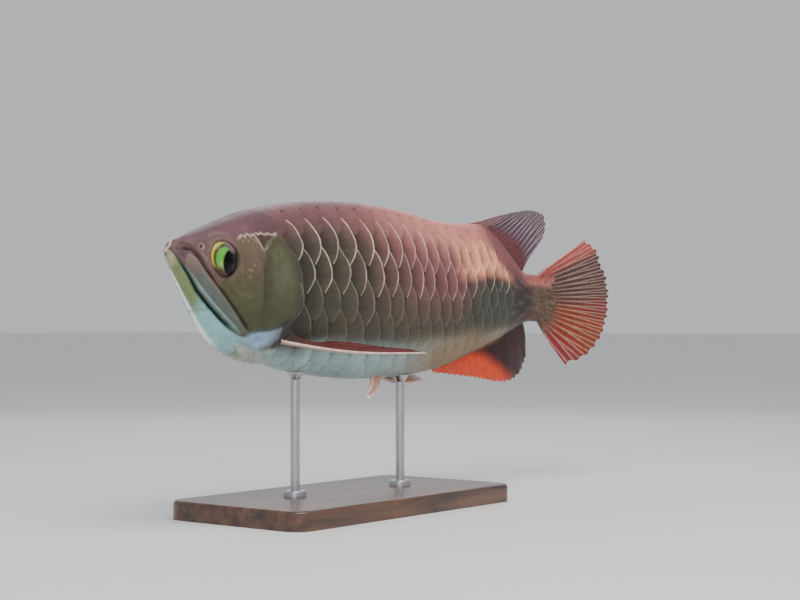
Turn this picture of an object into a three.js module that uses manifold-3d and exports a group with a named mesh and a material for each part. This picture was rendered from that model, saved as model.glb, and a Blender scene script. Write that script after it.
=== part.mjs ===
// Asian arowana, life size, as a still display model on a stand.
// Millimetres, +Z up. The origin is at the centre of the underside of the base.
// The snout points to -X and the left flank faces -Y. The fish is laid out straight,
// with x as the distance s from the upper lip, and is then bent along its spine.

import * as THREE from 'three';
import { mergeVertices } from 'three/addons/utils/BufferGeometryUtils.js';
import Module from 'manifold-3d';

const wasm = await Module();
wasm.setup();

// Driving dimensions
const AXIS_HEIGHT = 165;
const BALANCE_STATION = 205;
const JAW_TIP = -4;
const HEAD_END = 100;
const TRUNK_CUTS = [190, 290, 390];
const STALK_END = 474;
const GAP = 0.3;
const FIN_GAP = 0.45;

// Body lines: [s, value]. Heights are above the axis of the tail stalk.
const BACK_LINE = [[-4, 27], [0, 31], [10, 34], [26, 39], [55, 48], [85, 56.5], [121, 64], [160, 69],
  [200, 70.7], [235, 69.6], [270, 65.8], [300, 61.5], [330, 60.5], [350, 61.5], [364, 60], [380, 52.5],
  [400, 40], [430, 24], [450, 21.5], [478, 21.5]];
const BELLY_LINE = [[-4, 20], [0, 14], [11, 2], [26, -15], [36, -26], [54, -39], [81, -48], [109, -53],
  [127, -57], [160, -62], [215, -66], [250, -65.5], [302, -60], [340, -50], [385, -37], [430, -23.5],
  [450, -21], [478, -21.5]];
const HALF_WIDTH = [[-4, 1.6], [0, 4], [10, 7.5], [26, 12.5], [44, 17], [70, 23], [100, 27], [121, 28.5],
  [160, 31], [200, 31.5], [245, 30], [290, 26], [340, 19.5], [390, 13.5], [430, 8.5], [470, 4.5], [478, 3.5]];

// Section: the power of the cosine across the width. Under 1 is boxy, over 1 is keeled.
const UPPER_POWER = [[-4, 1], [10, 0.8], [30, 0.62], [100, 0.62], [150, 0.75], [300, 0.85], [430, 1]];
const LOWER_POWER = [[-4, 1.2], [40, 1], [100, 0.95], [140, 1], [250, 1.12], [400, 1.1], [450, 1]];
const HEIGHT_POWER = 0.95;
const RING_POINTS = 28;
const HEAD_STEP = 8;
const TRUNK_STEP = 14;

// Spine: heading of the head, then each bend as [middle, length, turn] in mm and degrees
const HEAD_HEADING = 8.5;
const BENDS = [[145, 70, -14], [345, 90, 6], [405, 60, 10], [480, 36, -27]];

// Mouth: the slit runs down and back at 45 degrees from this height at the upper lip
const SLIT_HEIGHT = 23;
const SLIT_WIDTH = 1.2;
const LIP_BONE_HALF_WIDTH = 3.2;
const LIP_BONE_FRONT = 5;
const LIP_BONE_REAR = 62;

// Eye: a ball flattened across the fish, and turned forward with the side of the head
const EYE_RADIUS = 13.2;
const EYE_HALF_DEPTH = 8.2;
const EYE_TURN = 13.5;
const EYE_CENTRE = { s: 40.8, side: 11.5, height: 20.2 };

// Gill cover outline in side view: its front edge, its round rear edge and its foot
const COVER_FRONT = 73;
const COVER_EDGE = [[84, 39], [98, 38], [111, 29], [119, 14], [121, -2], [118, -17], [110, -28], [98, -35]];
const COVER_FOOT = [[84, -41.5], [70, -38.5]];
const COVER_TOP = 35;
const COVER_THICKNESS = 3.4;

// Stand
const BASE = { length: 260, width: 130, height: 14, corner: 14, bevel: 2 };
const ROD_RADIUS = 3.5;
const ROD_STATIONS = { front: 148, rear: 262 };
const SOCKET_DEPTH = 8;

// A smooth line through its points that never overshoots them
function lineThrough(points) {
  const slopes = [];
  for (let i = 1; i < points.length; i += 1) {
    slopes.push((points[i][1] - points[i - 1][1]) / (points[i][0] - points[i - 1][0]));
  }
  const tangents = points.map((point, i) => {
    if (i === 0) return slopes[0];
    if (i === points.length - 1) return slopes[i - 1];
    const product = slopes[i - 1] * slopes[i];
    return product > 0 ? (2 * product) / (slopes[i - 1] + slopes[i]) : 0;
  });
  return (s) => {
    const last = points.length - 2;
    const found = points.findIndex((point) => point[0] > s);
    const i = found < 0 ? last : Math.max(found - 1, 0);
    const step = points[i + 1][0] - points[i][0];
    const t = THREE.MathUtils.clamp((s - points[i][0]) / step, 0, 1);
    const start = points[i][1] * (1 + 2 * t) * (1 - t) ** 2 + tangents[i] * step * t * (1 - t) ** 2;
    const end = points[i + 1][1] * t * t * (3 - 2 * t) + tangents[i + 1] * step * t * t * (t - 1);
    return start + end;
  };
}

const backAt = lineThrough(BACK_LINE);
const bellyAt = lineThrough(BELLY_LINE);
const halfWidthAt = lineThrough(HALF_WIDTH);
const upperPowerAt = lineThrough(UPPER_POWER);
const lowerPowerAt = lineThrough(LOWER_POWER);

// Spine: the points and headings at every millimetre
const SPINE_START = -40;
const SPINE_END = 600;
const spine = [];

function headingAt(s) {
  const turned = BENDS.reduce((sum, [middle, length, turn]) => {
    const t = THREE.MathUtils.clamp((s - middle) / length + 0.5, 0, 1);
    return sum + turn * t * t * (3 - 2 * t);
  }, HEAD_HEADING);
  return THREE.MathUtils.degToRad(turned);
}

function buildSpine() {
  let x = 0;
  let y = 0;
  for (let s = SPINE_START; s <= SPINE_END; s += 1) {
    spine.push({ x, y });
    x += Math.cos(headingAt(s + 0.5));
    y += Math.sin(headingAt(s + 0.5));
  }
}

function spinePoint(s) {
  const place = THREE.MathUtils.clamp(s - SPINE_START, 0, spine.length - 1.001);
  const i = Math.floor(place);
  const x = THREE.MathUtils.lerp(spine[i].x, spine[i + 1].x, place - i);
  const y = THREE.MathUtils.lerp(spine[i].y, spine[i + 1].y, place - i);
  return { x, y };
}

buildSpine();
const balancePoint = spinePoint(BALANCE_STATION);

// Moves a straight piece onto the bent spine, at its height over the base
function bend(geometry) {
  const position = geometry.getAttribute('position');
  for (let i = 0; i < position.count; i += 1) {
    const s = position.getX(i);
    const across = position.getY(i);
    const heading = headingAt(s);
    const point = spinePoint(s);
    const x = point.x - balancePoint.x - across * Math.sin(heading);
    const y = point.y - balancePoint.y + across * Math.cos(heading);
    position.setXYZ(i, x, y, position.getZ(i) + AXIS_HEIGHT);
  }
  return geometry;
}

function toSolid(geometry) {
  const bare = new THREE.BufferGeometry();
  bare.setAttribute('position', geometry.getAttribute('position'));
  bare.setIndex(geometry.index);
  const merged = mergeVertices(bare, 1e-4);
  const vertProperties = new Float32Array(merged.getAttribute('position').array);
  const triVerts = new Uint32Array(merged.index.array);
  return new wasm.Manifold(new wasm.Mesh({ numProp: 3, vertProperties, triVerts }));
}

function toGeometry(solid) {
  const mesh = solid.getMesh();
  const geometry = new THREE.BufferGeometry();
  geometry.setAttribute('position', new THREE.BufferAttribute(mesh.vertProperties, 3));
  geometry.setIndex(new THREE.BufferAttribute(mesh.triVerts, 1));
  return geometry;
}

// A point of the body's skin. The angle goes from the left flank up over the back.
function skinPoint(s, angle, grow) {
  const back = backAt(s) + grow;
  const belly = bellyAt(s) - grow;
  const middle = (back + belly) / 2;
  const up = Math.sin(angle);
  const out = Math.cos(angle);
  const power = up > 0 ? upperPowerAt(s) : lowerPowerAt(s);
  const side = (halfWidthAt(s) + grow) * Math.sign(out) * Math.abs(out) ** power;
  const height = middle + Math.sign(up) * Math.abs(up) ** HEIGHT_POWER * (back - middle);
  return [s, -side, height];
}

// Every piece of the body is cut at the same stations, so that their skins agree
const sectionEnds = [JAW_TIP, HEAD_END, ...TRUNK_CUTS, STALK_END];
const allStations = sectionEnds.slice(1).flatMap((to, i) => {
  const from = sectionEnds[i];
  const count = Math.round((to - from) / (i === 0 ? HEAD_STEP : TRUNK_STEP));
  return Array.from({ length: count }, (unused, k) => from + ((to - from) * (k + 1)) / count);
});

function stationsBetween(from, to) {
  return [from, ...allStations.filter((s) => s > from + 1 && s < to - 1), to];
}

// The closed body between two stations, with its skin moved out by grow
function bodyLength(from, to, grow = 0) {
  const stations = stationsBetween(from, to);
  const positions = [];
  const index = [];
  stations.forEach((s) => {
    for (let k = 0; k < RING_POINTS; k += 1) {
      positions.push(...skinPoint(s, (2 * Math.PI * k) / RING_POINTS, grow));
    }
  });
  const frontCentre = positions.length / 3;
  positions.push(from, 0, (backAt(from) + bellyAt(from)) / 2);
  positions.push(to, 0, (backAt(to) + bellyAt(to)) / 2);
  const lastRing = (stations.length - 1) * RING_POINTS;
  for (let k = 0; k < RING_POINTS; k += 1) {
    const next = (k + 1) % RING_POINTS;
    for (let ring = 0; ring < lastRing; ring += RING_POINTS) {
      const behind = ring + RING_POINTS;
      index.push(ring + k, behind + k, ring + next);
      index.push(ring + next, behind + k, behind + next);
    }
    index.push(frontCentre, k, next);
    index.push(frontCentre + 1, lastRing + next, lastRing + k);
  }
  const geometry = new THREE.BufferGeometry();
  geometry.setAttribute('position', new THREE.Float32BufferAttribute(positions, 3));
  geometry.setIndex(index);
  return geometry;
}

// A side-view outline made into a slab that runs across the fish
function slab(points, sideFrom, sideTo) {
  const shape = new THREE.Shape(points);
  const geometry = new THREE.ExtrudeGeometry(shape, { depth: sideTo - sideFrom, bevelEnabled: false });
  geometry.deleteAttribute('uv');
  geometry.deleteAttribute('normal');
  geometry.rotateX(Math.PI / 2);
  geometry.translate(0, sideTo, 0);
  return toSolid(mergeVertices(geometry, 1e-4));
}

// The slab on one flank: side is 1 for the left and -1 for the right
function flankSlab(points, side, innerSide) {
  const outerSide = 60;
  return side > 0 ? slab(points, -outerSide, -innerSide) : slab(points, innerSide, outerSide);
}

function grownOutline(points, distance) {
  const area = THREE.ShapeUtils.area(points);
  return points.map((point, i) => {
    const before = points[(i + points.length - 1) % points.length];
    const after = points[(i + 1) % points.length];
    const along = after.clone().sub(before).normalize();
    const outward = Math.sign(area) * distance;
    return new THREE.Vector2(point.x + along.y * outward, point.y - along.x * outward);
  });
}

function belowSlit(offset) {
  const drop = SLIT_HEIGHT + offset * Math.SQRT2;
  const front = JAW_TIP - 10;
  const rear = HEAD_END - 20;
  const floor = -80;
  const corners = [[front, floor], [rear, floor], [rear, drop - rear], [front, drop - front]];
  return slab(corners.map(([s, z]) => new THREE.Vector2(s, z)), -50, 50);
}

// The strap of bone that edges the upper jaw, along the slit, with a round rear end
function lipBoneOutline() {
  const lift = (SLIT_WIDTH + LIP_BONE_HALF_WIDTH + GAP) * Math.SQRT2;
  const height = SLIT_HEIGHT + lift;
  const reach = LIP_BONE_HALF_WIDTH * Math.SQRT1_2;
  const shape = new THREE.Shape();
  shape.moveTo(LIP_BONE_FRONT - reach, height - LIP_BONE_FRONT - reach);
  shape.lineTo(LIP_BONE_REAR - reach, height - LIP_BONE_REAR - reach);
  shape.absarc(LIP_BONE_REAR, height - LIP_BONE_REAR, LIP_BONE_HALF_WIDTH, -0.75 * Math.PI, 0.25 * Math.PI);
  shape.lineTo(LIP_BONE_FRONT + reach, height - LIP_BONE_FRONT + reach);
  return shape.getPoints(4).slice(0, -1);
}

function coverOutline() {
  const shape = new THREE.Shape();
  shape.moveTo(COVER_FRONT, COVER_TOP);
  shape.splineThru(COVER_EDGE.map(([s, z]) => new THREE.Vector2(s, z)));
  COVER_FOOT.forEach(([s, z]) => shape.lineTo(s, z));
  shape.lineTo(COVER_FRONT, -20);
  return shape.getPoints(2);
}

// A plate of bone in the skin: the outline on one flank, between two depths
function plate(outline, side, innerSide, proud, thickness, grow) {
  const front = LIP_BONE_FRONT - 3;
  const rear = HEAD_END + 40;
  const outer = toSolid(bodyLength(JAW_TIP, rear, proud + grow));
  const inner = toSolid(bodyLength(front, rear + 10, proud - thickness - grow));
  const piece = flankSlab(grow > 0 ? grownOutline(outline, grow) : outline, side, innerSide - grow);
  return outer.intersect(piece).subtract(inner);
}

const sides = { left: 1, right: -1 };
const LIP_BONE_PROUD = 0.7;
const LIP_BONE_THICKNESS = 2.6;
const COVER_PROUD = 1;

function lipBone(side, grow = 0) {
  return plate(lipBoneOutline(), side, 3, LIP_BONE_PROUD, LIP_BONE_THICKNESS, grow);
}

function gillCover(side, grow = 0) {
  return plate(coverOutline(), side, 8, COVER_PROUD, COVER_THICKNESS, grow);
}

function eyeBall(side, grow = 0) {
  const geometry = new THREE.SphereGeometry(1, 16, 9);
  geometry.deleteAttribute('uv');
  geometry.deleteAttribute('normal');
  geometry.scale(EYE_RADIUS + grow, EYE_HALF_DEPTH + grow, EYE_RADIUS + grow);
  geometry.rotateZ(THREE.MathUtils.degToRad(-side * EYE_TURN));
  geometry.translate(EYE_CENTRE.s, -side * EYE_CENTRE.side, EYE_CENTRE.height);
  return toSolid(mergeVertices(geometry, 1e-4));
}

// What lies in the head's surface: cut out of the head and of the trunk's front
function withoutHeadPlates(solid) {
  return Object.values(sides).reduce((rest, side) => {
    const cut = rest.subtract(lipBone(side, GAP)).subtract(gillCover(side, GAP));
    return cut.subtract(eyeBall(side, GAP));
  }, solid);
}

// The eye's inner half is inside the head, so each ball stops short of the other
function visibleEye(side) {
  const outline = [[20, 0], [60, 0], [60, 42], [20, 42]].map(([s, z]) => new THREE.Vector2(s, z));
  return eyeBall(side).intersect(flankSlab(outline, side, 2));
}

// A fan of bony rays with thinner skin between them. root and tip give the ends of
// the ray at u, from 0 for the first ray to 1 for the last one, as [s, side, height].
// sag swings the tips along the normal, and bow moves the middle of every ray.
function fin({ rays, rows, root, tip, normal, rootThickness, tipThickness, sag = 0, bow = [0, 0, 0] }) {
  const columns = 2 * rays - 1;
  const skinShare = 0.62;
  const positions = [];
  const index = [];
  const face = new THREE.Vector3(...normal).normalize();
  const bowed = new THREE.Vector3(...bow);
  [1, -1].forEach((sheet) => {
    for (let c = 0; c < columns; c += 1) {
      const u = c / (columns - 1);
      const from = new THREE.Vector3(...root(u));
      const to = new THREE.Vector3(...tip(u));
      for (let r = 0; r <= rows; r += 1) {
        const v = r / rows;
        const point = from.clone().lerp(to, v);
        point.addScaledVector(face, sag * v * v);
        point.addScaledVector(bowed, Math.sin(Math.PI * v));
        const thickness = THREE.MathUtils.lerp(rootThickness, tipThickness, Math.sqrt(v));
        const share = c % 2 === 0 ? 1 : skinShare;
        point.addScaledVector(face, (sheet * thickness * share) / 2);
        positions.push(point.x, -point.y, point.z);
      }
    }
  });
  const sheetSize = columns * (rows + 1);
  const at = (sheet, c, r) => sheet * sheetSize + c * (rows + 1) + r;
  const quad = (a, b, c, d) => index.push(a, b, c, a, c, d);
  for (let c = 0; c < columns - 1; c += 1) {
    for (let r = 0; r < rows; r += 1) {
      quad(at(0, c, r), at(0, c + 1, r), at(0, c + 1, r + 1), at(0, c, r + 1));
      quad(at(1, c, r), at(1, c, r + 1), at(1, c + 1, r + 1), at(1, c + 1, r));
    }
    quad(at(0, c, 0), at(1, c, 0), at(1, c + 1, 0), at(0, c + 1, 0));
    quad(at(0, c, rows), at(0, c + 1, rows), at(1, c + 1, rows), at(1, c, rows));
  }
  for (let r = 0; r < rows; r += 1) {
    const last = columns - 1;
    quad(at(0, 0, r), at(0, 0, r + 1), at(1, 0, r + 1), at(1, 0, r));
    quad(at(0, last, r), at(1, last, r), at(1, last, r + 1), at(0, last, r + 1));
  }
  const geometry = new THREE.BufferGeometry();
  geometry.setAttribute('position', new THREE.Float32BufferAttribute(positions, 3));
  geometry.setIndex(index);
  return facingOut(geometry);
}

function facingOut(geometry) {
  const position = geometry.getAttribute('position');
  const order = geometry.index.array;
  const [a, b, c] = [new THREE.Vector3(), new THREE.Vector3(), new THREE.Vector3()];
  let volume = 0;
  for (let i = 0; i < order.length; i += 3) {
    a.fromBufferAttribute(position, order[i]);
    b.fromBufferAttribute(position, order[i + 1]);
    c.fromBufferAttribute(position, order[i + 2]);
    volume += a.dot(b.cross(c));
  }
  if (volume < 0) {
    for (let i = 0; i < order.length; i += 3) {
      [order[i + 1], order[i + 2]] = [order[i + 2], order[i + 1]];
    }
  }
  return geometry;
}

// Fin outlines: the tip of the ray at u, for each fin
const dorsalTip = { s: lineThrough([[0, 374], [0.25, 412], [0.5, 446], [0.7, 469], [0.82, 476], [0.92, 470],
  [1, 450]]), height: lineThrough([[0, 67], [0.25, 74], [0.5, 77.5], [0.7, 76], [0.82, 67], [0.92, 55],
  [1, 41]]) };
const analTip = { s: lineThrough([[0, 304], [0.3, 356], [0.6, 400], [0.75, 422], [0.9, 446], [1, 449]]),
  height: lineThrough([[0, -62.5], [0.3, -67.5], [0.6, -72.5], [0.75, -70], [0.9, -54], [1, -39]]) };
const tailTip = { s: lineThrough([[-1, 507], [-0.8, 532], [-0.6, 548], [-0.3, 557], [0, 559.5], [0.3, 558],
  [0.6, 550], [0.8, 544], [1, 530]]), height: lineThrough([[-1, -59.5], [-0.8, -51], [-0.6, -37],
  [-0.3, -18], [0, 0], [0.3, 16], [0.6, 34], [0.8, 46], [1, 55]]) };
const DORSAL_BASE = [352, 428];
const ANAL_BASE = [296, 430];
const ROOT_SUNK = 4;

function dorsalFin() {
  const station = (u) => THREE.MathUtils.lerp(DORSAL_BASE[0], DORSAL_BASE[1], u);
  return fin({
    rays: 15,
    rows: 3,
    root: (u) => [station(u), 0, backAt(station(u)) - ROOT_SUNK],
    tip: (u) => [dorsalTip.s(u), 0, dorsalTip.height(u)],
    normal: [0, 1, 0],
    rootThickness: 4,
    tipThickness: 1,
    sag: -4,
  });
}

function analFin() {
  const station = (u) => THREE.MathUtils.lerp(ANAL_BASE[0], ANAL_BASE[1], u);
  return fin({
    rays: 18,
    rows: 3,
    root: (u) => [station(u), 0, bellyAt(station(u)) + ROOT_SUNK],
    tip: (u) => [analTip.s(u), 0, analTip.height(u)],
    normal: [0, 1, 0],
    rootThickness: 4,
    tipThickness: 1,
    sag: 3,
  });
}

function tailFin() {
  const rootHeight = backAt(STALK_END) - 1.5;
  return fin({
    rays: 15,
    rows: 4,
    root: (u) => [STALK_END + GAP, 0, (1 - 2 * u) * rootHeight],
    tip: (u) => [tailTip.s(1 - 2 * u), 0, tailTip.height(1 - 2 * u)],
    normal: [0, 1, 0],
    rootThickness: 5,
    tipThickness: 1,
  });
}

const PECTORAL = {
  left: { root: [[102, 20, -36], [112, 22, -30]], tips: [[212, 74, -44.7], [154, 28, -36]],
    normal: [0.1, -0.15, 1], bulge: 18 },
  right: { root: [[102, -20, -36], [112, -22, -30]], tips: [[168, -104, -41.5], [158, -32, -36]],
    normal: [-0.1, 0.1, 1], bulge: 14 },
};
const PELVIC = {
  left: { root: [[227, 4, -59], [238, 5, -59]], tips: [[210, 14.5, -79], [231, 14, -72]],
    normal: [0.2, -0.8, -0.6], bulge: 3 },
  right: { root: [[236, -7, -60], [244, -14, -53]], tips: [[303, -10, -68.5], [278, -22, -60]],
    normal: [0.1, -0.28, 1], bulge: 5 },
};
const PECTORAL_SHAPE = { rays: 7, rootThickness: 3, bow: [0, 0, -3.5] };
const PELVIC_SHAPE = { rays: 6, rootThickness: 2.4, bow: [0, 0, -3.5] };

// A paired fin: its rays fan out between the first ray's tip and the last ray's tip
function pairedFin({ root, tips, normal, bulge }, shape) {
  const [first, last] = tips.map((tip) => new THREE.Vector3(...tip));
  const [front, back] = root.map((end) => new THREE.Vector3(...end));
  return fin({
    ...shape,
    rows: 5,
    root: (u) => front.clone().lerp(back, u).toArray(),
    tip: (u) => {
      const point = first.clone().lerp(last, u);
      const away = point.clone().sub(front).normalize();
      return point.addScaledVector(away, bulge * Math.sin(Math.PI * u)).toArray();
    },
    normal,
    tipThickness: 1,
  });
}

// The whiskers of the chin: a taper along a curve, as [s, side, height] points
const BARBELS = {
  left: [[-5.5, 1.6, 25], [-9, 3, 24.5], [-13, 5, 24.4], [-17.5, 8, 25]],
  right: [[-4.5, -2, 28], [-2.5, -4, 31], [-0.5, -4.6, 36], [4, -4.4, 43]],
};
const BARBEL_RADIUS = { root: 1.1, tip: 0.45 };

function barbel(points) {
  const curve = new THREE.CatmullRomCurve3(points.map(([s, side, z]) => new THREE.Vector3(s, -side, z)));
  const steps = 6;
  const sidesRound = 6;
  const frames = curve.computeFrenetFrames(steps);
  const positions = [];
  const index = [];
  for (let i = 0; i <= steps; i += 1) {
    const centre = curve.getPointAt(i / steps);
    const radius = THREE.MathUtils.lerp(BARBEL_RADIUS.root, BARBEL_RADIUS.tip, i / steps);
    for (let k = 0; k < sidesRound; k += 1) {
      const angle = (2 * Math.PI * k) / sidesRound;
      const point = centre.clone().addScaledVector(frames.normals[i], radius * Math.cos(angle));
      positions.push(...point.addScaledVector(frames.binormals[i], radius * Math.sin(angle)).toArray());
    }
  }
  positions.push(...curve.getPointAt(0).toArray(), ...curve.getPointAt(1).toArray());
  const lastRing = steps * sidesRound;
  const rootCentre = lastRing + sidesRound;
  for (let k = 0; k < sidesRound; k += 1) {
    const next = (k + 1) % sidesRound;
    for (let ring = 0; ring < lastRing; ring += sidesRound) {
      index.push(ring + k, ring + next, ring + sidesRound + k);
      index.push(ring + next, ring + sidesRound + next, ring + sidesRound + k);
    }
    index.push(rootCentre, next, k);
    index.push(rootCentre + 1, lastRing + k, lastRing + next);
  }
  const geometry = new THREE.BufferGeometry();
  geometry.setAttribute('position', new THREE.Float32BufferAttribute(positions, 3));
  geometry.setIndex(index);
  return facingOut(geometry);
}

function upright(radius, fromHeight, toHeight, x, y) {
  const geometry = new THREE.CylinderGeometry(radius, radius, toHeight - fromHeight, 16);
  geometry.deleteAttribute('uv');
  geometry.deleteAttribute('normal');
  geometry.rotateX(Math.PI / 2);
  geometry.translate(x, y, (fromHeight + toHeight) / 2);
  return toSolid(mergeVertices(geometry, 1e-4));
}

function rodPlace(station) {
  const point = spinePoint(station);
  return { x: point.x - balancePoint.x, y: point.y - balancePoint.y };
}

function standRod(station) {
  const { x, y } = rodPlace(station);
  const reach = AXIS_HEIGHT + bellyAt(station) + 12;
  const body = toSolid(bend(bodyLength(HEAD_END, TRUNK_CUTS[2], FIN_GAP)));
  return toGeometry(upright(ROD_RADIUS, BASE.height - SOCKET_DEPTH + GAP, reach, x, y).subtract(body));
}

function standBase() {
  const { length, width, height, corner, bevel } = BASE;
  const [halfLength, halfWidth] = [length / 2 - bevel, width / 2 - bevel];
  const shape = new THREE.Shape();
  shape.moveTo(-halfLength + corner, -halfWidth);
  shape.absarc(halfLength - corner, -halfWidth + corner, corner, -Math.PI / 2, 0);
  shape.absarc(halfLength - corner, halfWidth - corner, corner, 0, Math.PI / 2);
  shape.absarc(-halfLength + corner, halfWidth - corner, corner, Math.PI / 2, Math.PI);
  shape.absarc(-halfLength + corner, -halfWidth + corner, corner, Math.PI, 1.5 * Math.PI);
  const options = { depth: height - 2 * bevel, bevelSize: bevel, bevelThickness: bevel, bevelSegments: 1,
    curveSegments: 4 };
  const geometry = new THREE.ExtrudeGeometry(shape, options);
  geometry.deleteAttribute('uv');
  geometry.deleteAttribute('normal');
  geometry.translate(0, 0, bevel);
  const sockets = Object.values(ROD_STATIONS).map((station) => {
    const { x, y } = rodPlace(station);
    return upright(ROD_RADIUS + GAP, height - SOCKET_DEPTH, height + 5, x, y);
  });
  const block = toSolid(mergeVertices(geometry, 1e-4));
  return toGeometry(sockets.reduce((rest, socket) => rest.subtract(socket), block));
}

// Colours
const COLOURS = {
  headTop: 0x7d6268,
  jaw: 0x93a28f,
  plate: 0x6f7560,
  eye: 0x9ec04a,
  back: 0xb0807a,
  flank: 0x86796c,
  rearFlank: 0x7d6f5f,
  dorsal: 0x8d7480,
  anal: 0xe0532f,
  tail: 0xc06a52,
  pectoral: 0xb06a66,
  pelvic: 0xc99c86,
  barbel: 0xc9b6ac,
  wood: 0x4a3325,
  steel: 0xb9bcc0,
};

const arowana = new THREE.Group();

function add(name, geometry, color, roughness = 0.4, metalness = 0) {
  const material = new THREE.MeshStandardMaterial({ color, roughness, metalness, flatShading: true });
  const mesh = new THREE.Mesh(geometry, material);
  mesh.name = name;
  arowana.add(mesh);
}

const wholeHead = toSolid(bodyLength(JAW_TIP, HEAD_END));
const headAboveSlit = wholeHead.subtract(belowSlit(SLIT_WIDTH / 2));
add('head', bend(toGeometry(withoutHeadPlates(headAboveSlit))), COLOURS.headTop);
const jawBelowSlit = withoutHeadPlates(wholeHead.intersect(belowSlit(-SLIT_WIDTH / 2)));
add('lower_jaw', bend(toGeometry(jawBelowSlit)), COLOURS.jaw);

const trunkFront = withoutHeadPlates(toSolid(bodyLength(HEAD_END + GAP, TRUNK_CUTS[0])));
add('trunk_front', bend(toGeometry(trunkFront)), COLOURS.back);
add('trunk_middle', bend(bodyLength(TRUNK_CUTS[0] + GAP, TRUNK_CUTS[1])), COLOURS.flank);
add('trunk_rear', bend(bodyLength(TRUNK_CUTS[1] + GAP, TRUNK_CUTS[2])), COLOURS.rearFlank);
add('tail_stalk', bend(bodyLength(TRUNK_CUTS[2] + GAP, STALK_END)), COLOURS.rearFlank);

const bodyClearance = toSolid(bodyLength(JAW_TIP, STALK_END, FIN_GAP));
const plateClearance = toSolid(bodyLength(JAW_TIP, STALK_END, COVER_PROUD + FIN_GAP));
const outsideBody = (geometry) => bend(toGeometry(toSolid(geometry).subtract(bodyClearance)));
const outsidePlates = (geometry) => bend(toGeometry(toSolid(geometry).subtract(plateClearance)));

add('dorsal_fin', outsideBody(dorsalFin()), COLOURS.dorsal);
add('anal_fin', outsideBody(analFin()), COLOURS.anal);
add('caudal_fin', bend(tailFin()), COLOURS.tail);

Object.entries(sides).forEach(([name, side]) => {
  add(`maxilla_${name}`, bend(toGeometry(lipBone(side))), COLOURS.plate);
  add(`gill_cover_${name}`, bend(toGeometry(gillCover(side))), COLOURS.plate);
  add(`eye_${name}`, bend(toGeometry(visibleEye(side))), COLOURS.eye, 0.1);
  add(`barbel_${name}`, outsideBody(barbel(BARBELS[name])), COLOURS.barbel);
  const pectoral = outsidePlates(pairedFin(PECTORAL[name], PECTORAL_SHAPE));
  add(`pectoral_fin_${name}`, pectoral, COLOURS.pectoral);
  add(`pelvic_fin_${name}`, outsideBody(pairedFin(PELVIC[name], PELVIC_SHAPE)), COLOURS.pelvic);
});

add('stand_base', standBase(), COLOURS.wood, 0.45);
Object.entries(ROD_STATIONS).forEach(([name, station]) => {
  add(`stand_rod_${name}`, standRod(station), COLOURS.steel, 0.25, 1);
});

export default arowana;
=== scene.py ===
import math
import bpy
import numpy as np
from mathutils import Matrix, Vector


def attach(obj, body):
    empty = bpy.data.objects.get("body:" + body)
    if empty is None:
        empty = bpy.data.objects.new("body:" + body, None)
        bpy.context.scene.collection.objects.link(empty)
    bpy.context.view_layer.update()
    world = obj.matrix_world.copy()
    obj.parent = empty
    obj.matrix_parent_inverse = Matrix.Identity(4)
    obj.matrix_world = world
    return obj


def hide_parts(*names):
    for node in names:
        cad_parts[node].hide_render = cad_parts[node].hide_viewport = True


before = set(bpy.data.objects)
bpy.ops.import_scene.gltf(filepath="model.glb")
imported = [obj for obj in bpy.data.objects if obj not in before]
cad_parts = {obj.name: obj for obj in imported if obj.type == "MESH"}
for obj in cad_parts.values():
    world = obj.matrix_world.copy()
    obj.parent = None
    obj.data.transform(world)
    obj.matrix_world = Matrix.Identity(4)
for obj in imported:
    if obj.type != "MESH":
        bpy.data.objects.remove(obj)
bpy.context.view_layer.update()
bpy.ops.object.select_all(action="DESELECT")

# Camera. It stands ahead of the fish and to its left, so that the near flank runs away from it,
# and it looks up by about one degree.
CAMERA_PLACE = (-0.94190, -0.78569, 0.1395)
LOOK_TURN = 52.0
LOOK_UP = 0.967
bpy.ops.object.camera_add(
    location=CAMERA_PLACE,
    rotation=(math.radians(90 + LOOK_UP), 0, math.radians(-LOOK_TURN)),
)
camera = bpy.context.object
camera.data.lens = 72
camera.data.sensor_width = 36
camera.data.clip_end = 100
bpy.context.scene.camera = camera


# Studio. A pale matt floor, pale surroundings, a large soft lamp over the fish and two weaker
# ones, in front and behind.
def add_node(material, kind, inputs=None, **settings):
    """Adds a shader node, with its inputs filled by values or by other nodes' outputs."""
    made = material.node_tree.nodes.new("ShaderNode" + kind)
    for key, value in settings.items():
        setattr(made, key, value)
    for key, value in (inputs or {}).items():
        if isinstance(value, bpy.types.NodeSocket):
            material.node_tree.links.new(value, made.inputs[key])
        else:
            made.inputs[key].default_value = value
    return made


def new_finish(name, **shader_values):
    material = bpy.data.materials.new(name)
    material.use_nodes = True
    shader = material.node_tree.nodes["Principled BSDF"]
    for key, value in shader_values.items():
        shader.inputs[key.replace("_", " ")].default_value = value
    return material, shader


def plug(material, output, shader, socket):
    material.node_tree.links.new(output, shader.inputs[socket])


def srgb(colour):
    share = np.asarray(colour, float) / 255
    return np.where(share <= 0.04045, share / 12.92, ((share + 0.055) / 1.055) ** 2.4)


def rgba(*colour):
    return (*srgb(colour), 1.0)


def noise(material, where, scale, detail, roughness=0.5, distortion=0.0):
    inputs = {"Vector": where, "Scale": scale, "Detail": detail, "Roughness": roughness,
              "Distortion": distortion}
    return add_node(material, "TexNoise", inputs).outputs["Fac"]


def two_tone(material, value, dark, light, start=0.0, end=1.0):
    """Goes from the dark to the light colour while a value goes from start to end."""
    ramp = add_node(material, "ValToRGB", {"Fac": value})
    for stop, position, colour in zip(ramp.color_ramp.elements, (start, end), (dark, light)):
        stop.position = position
        stop.color = rgba(*colour)
    return ramp.outputs["Color"]


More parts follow.
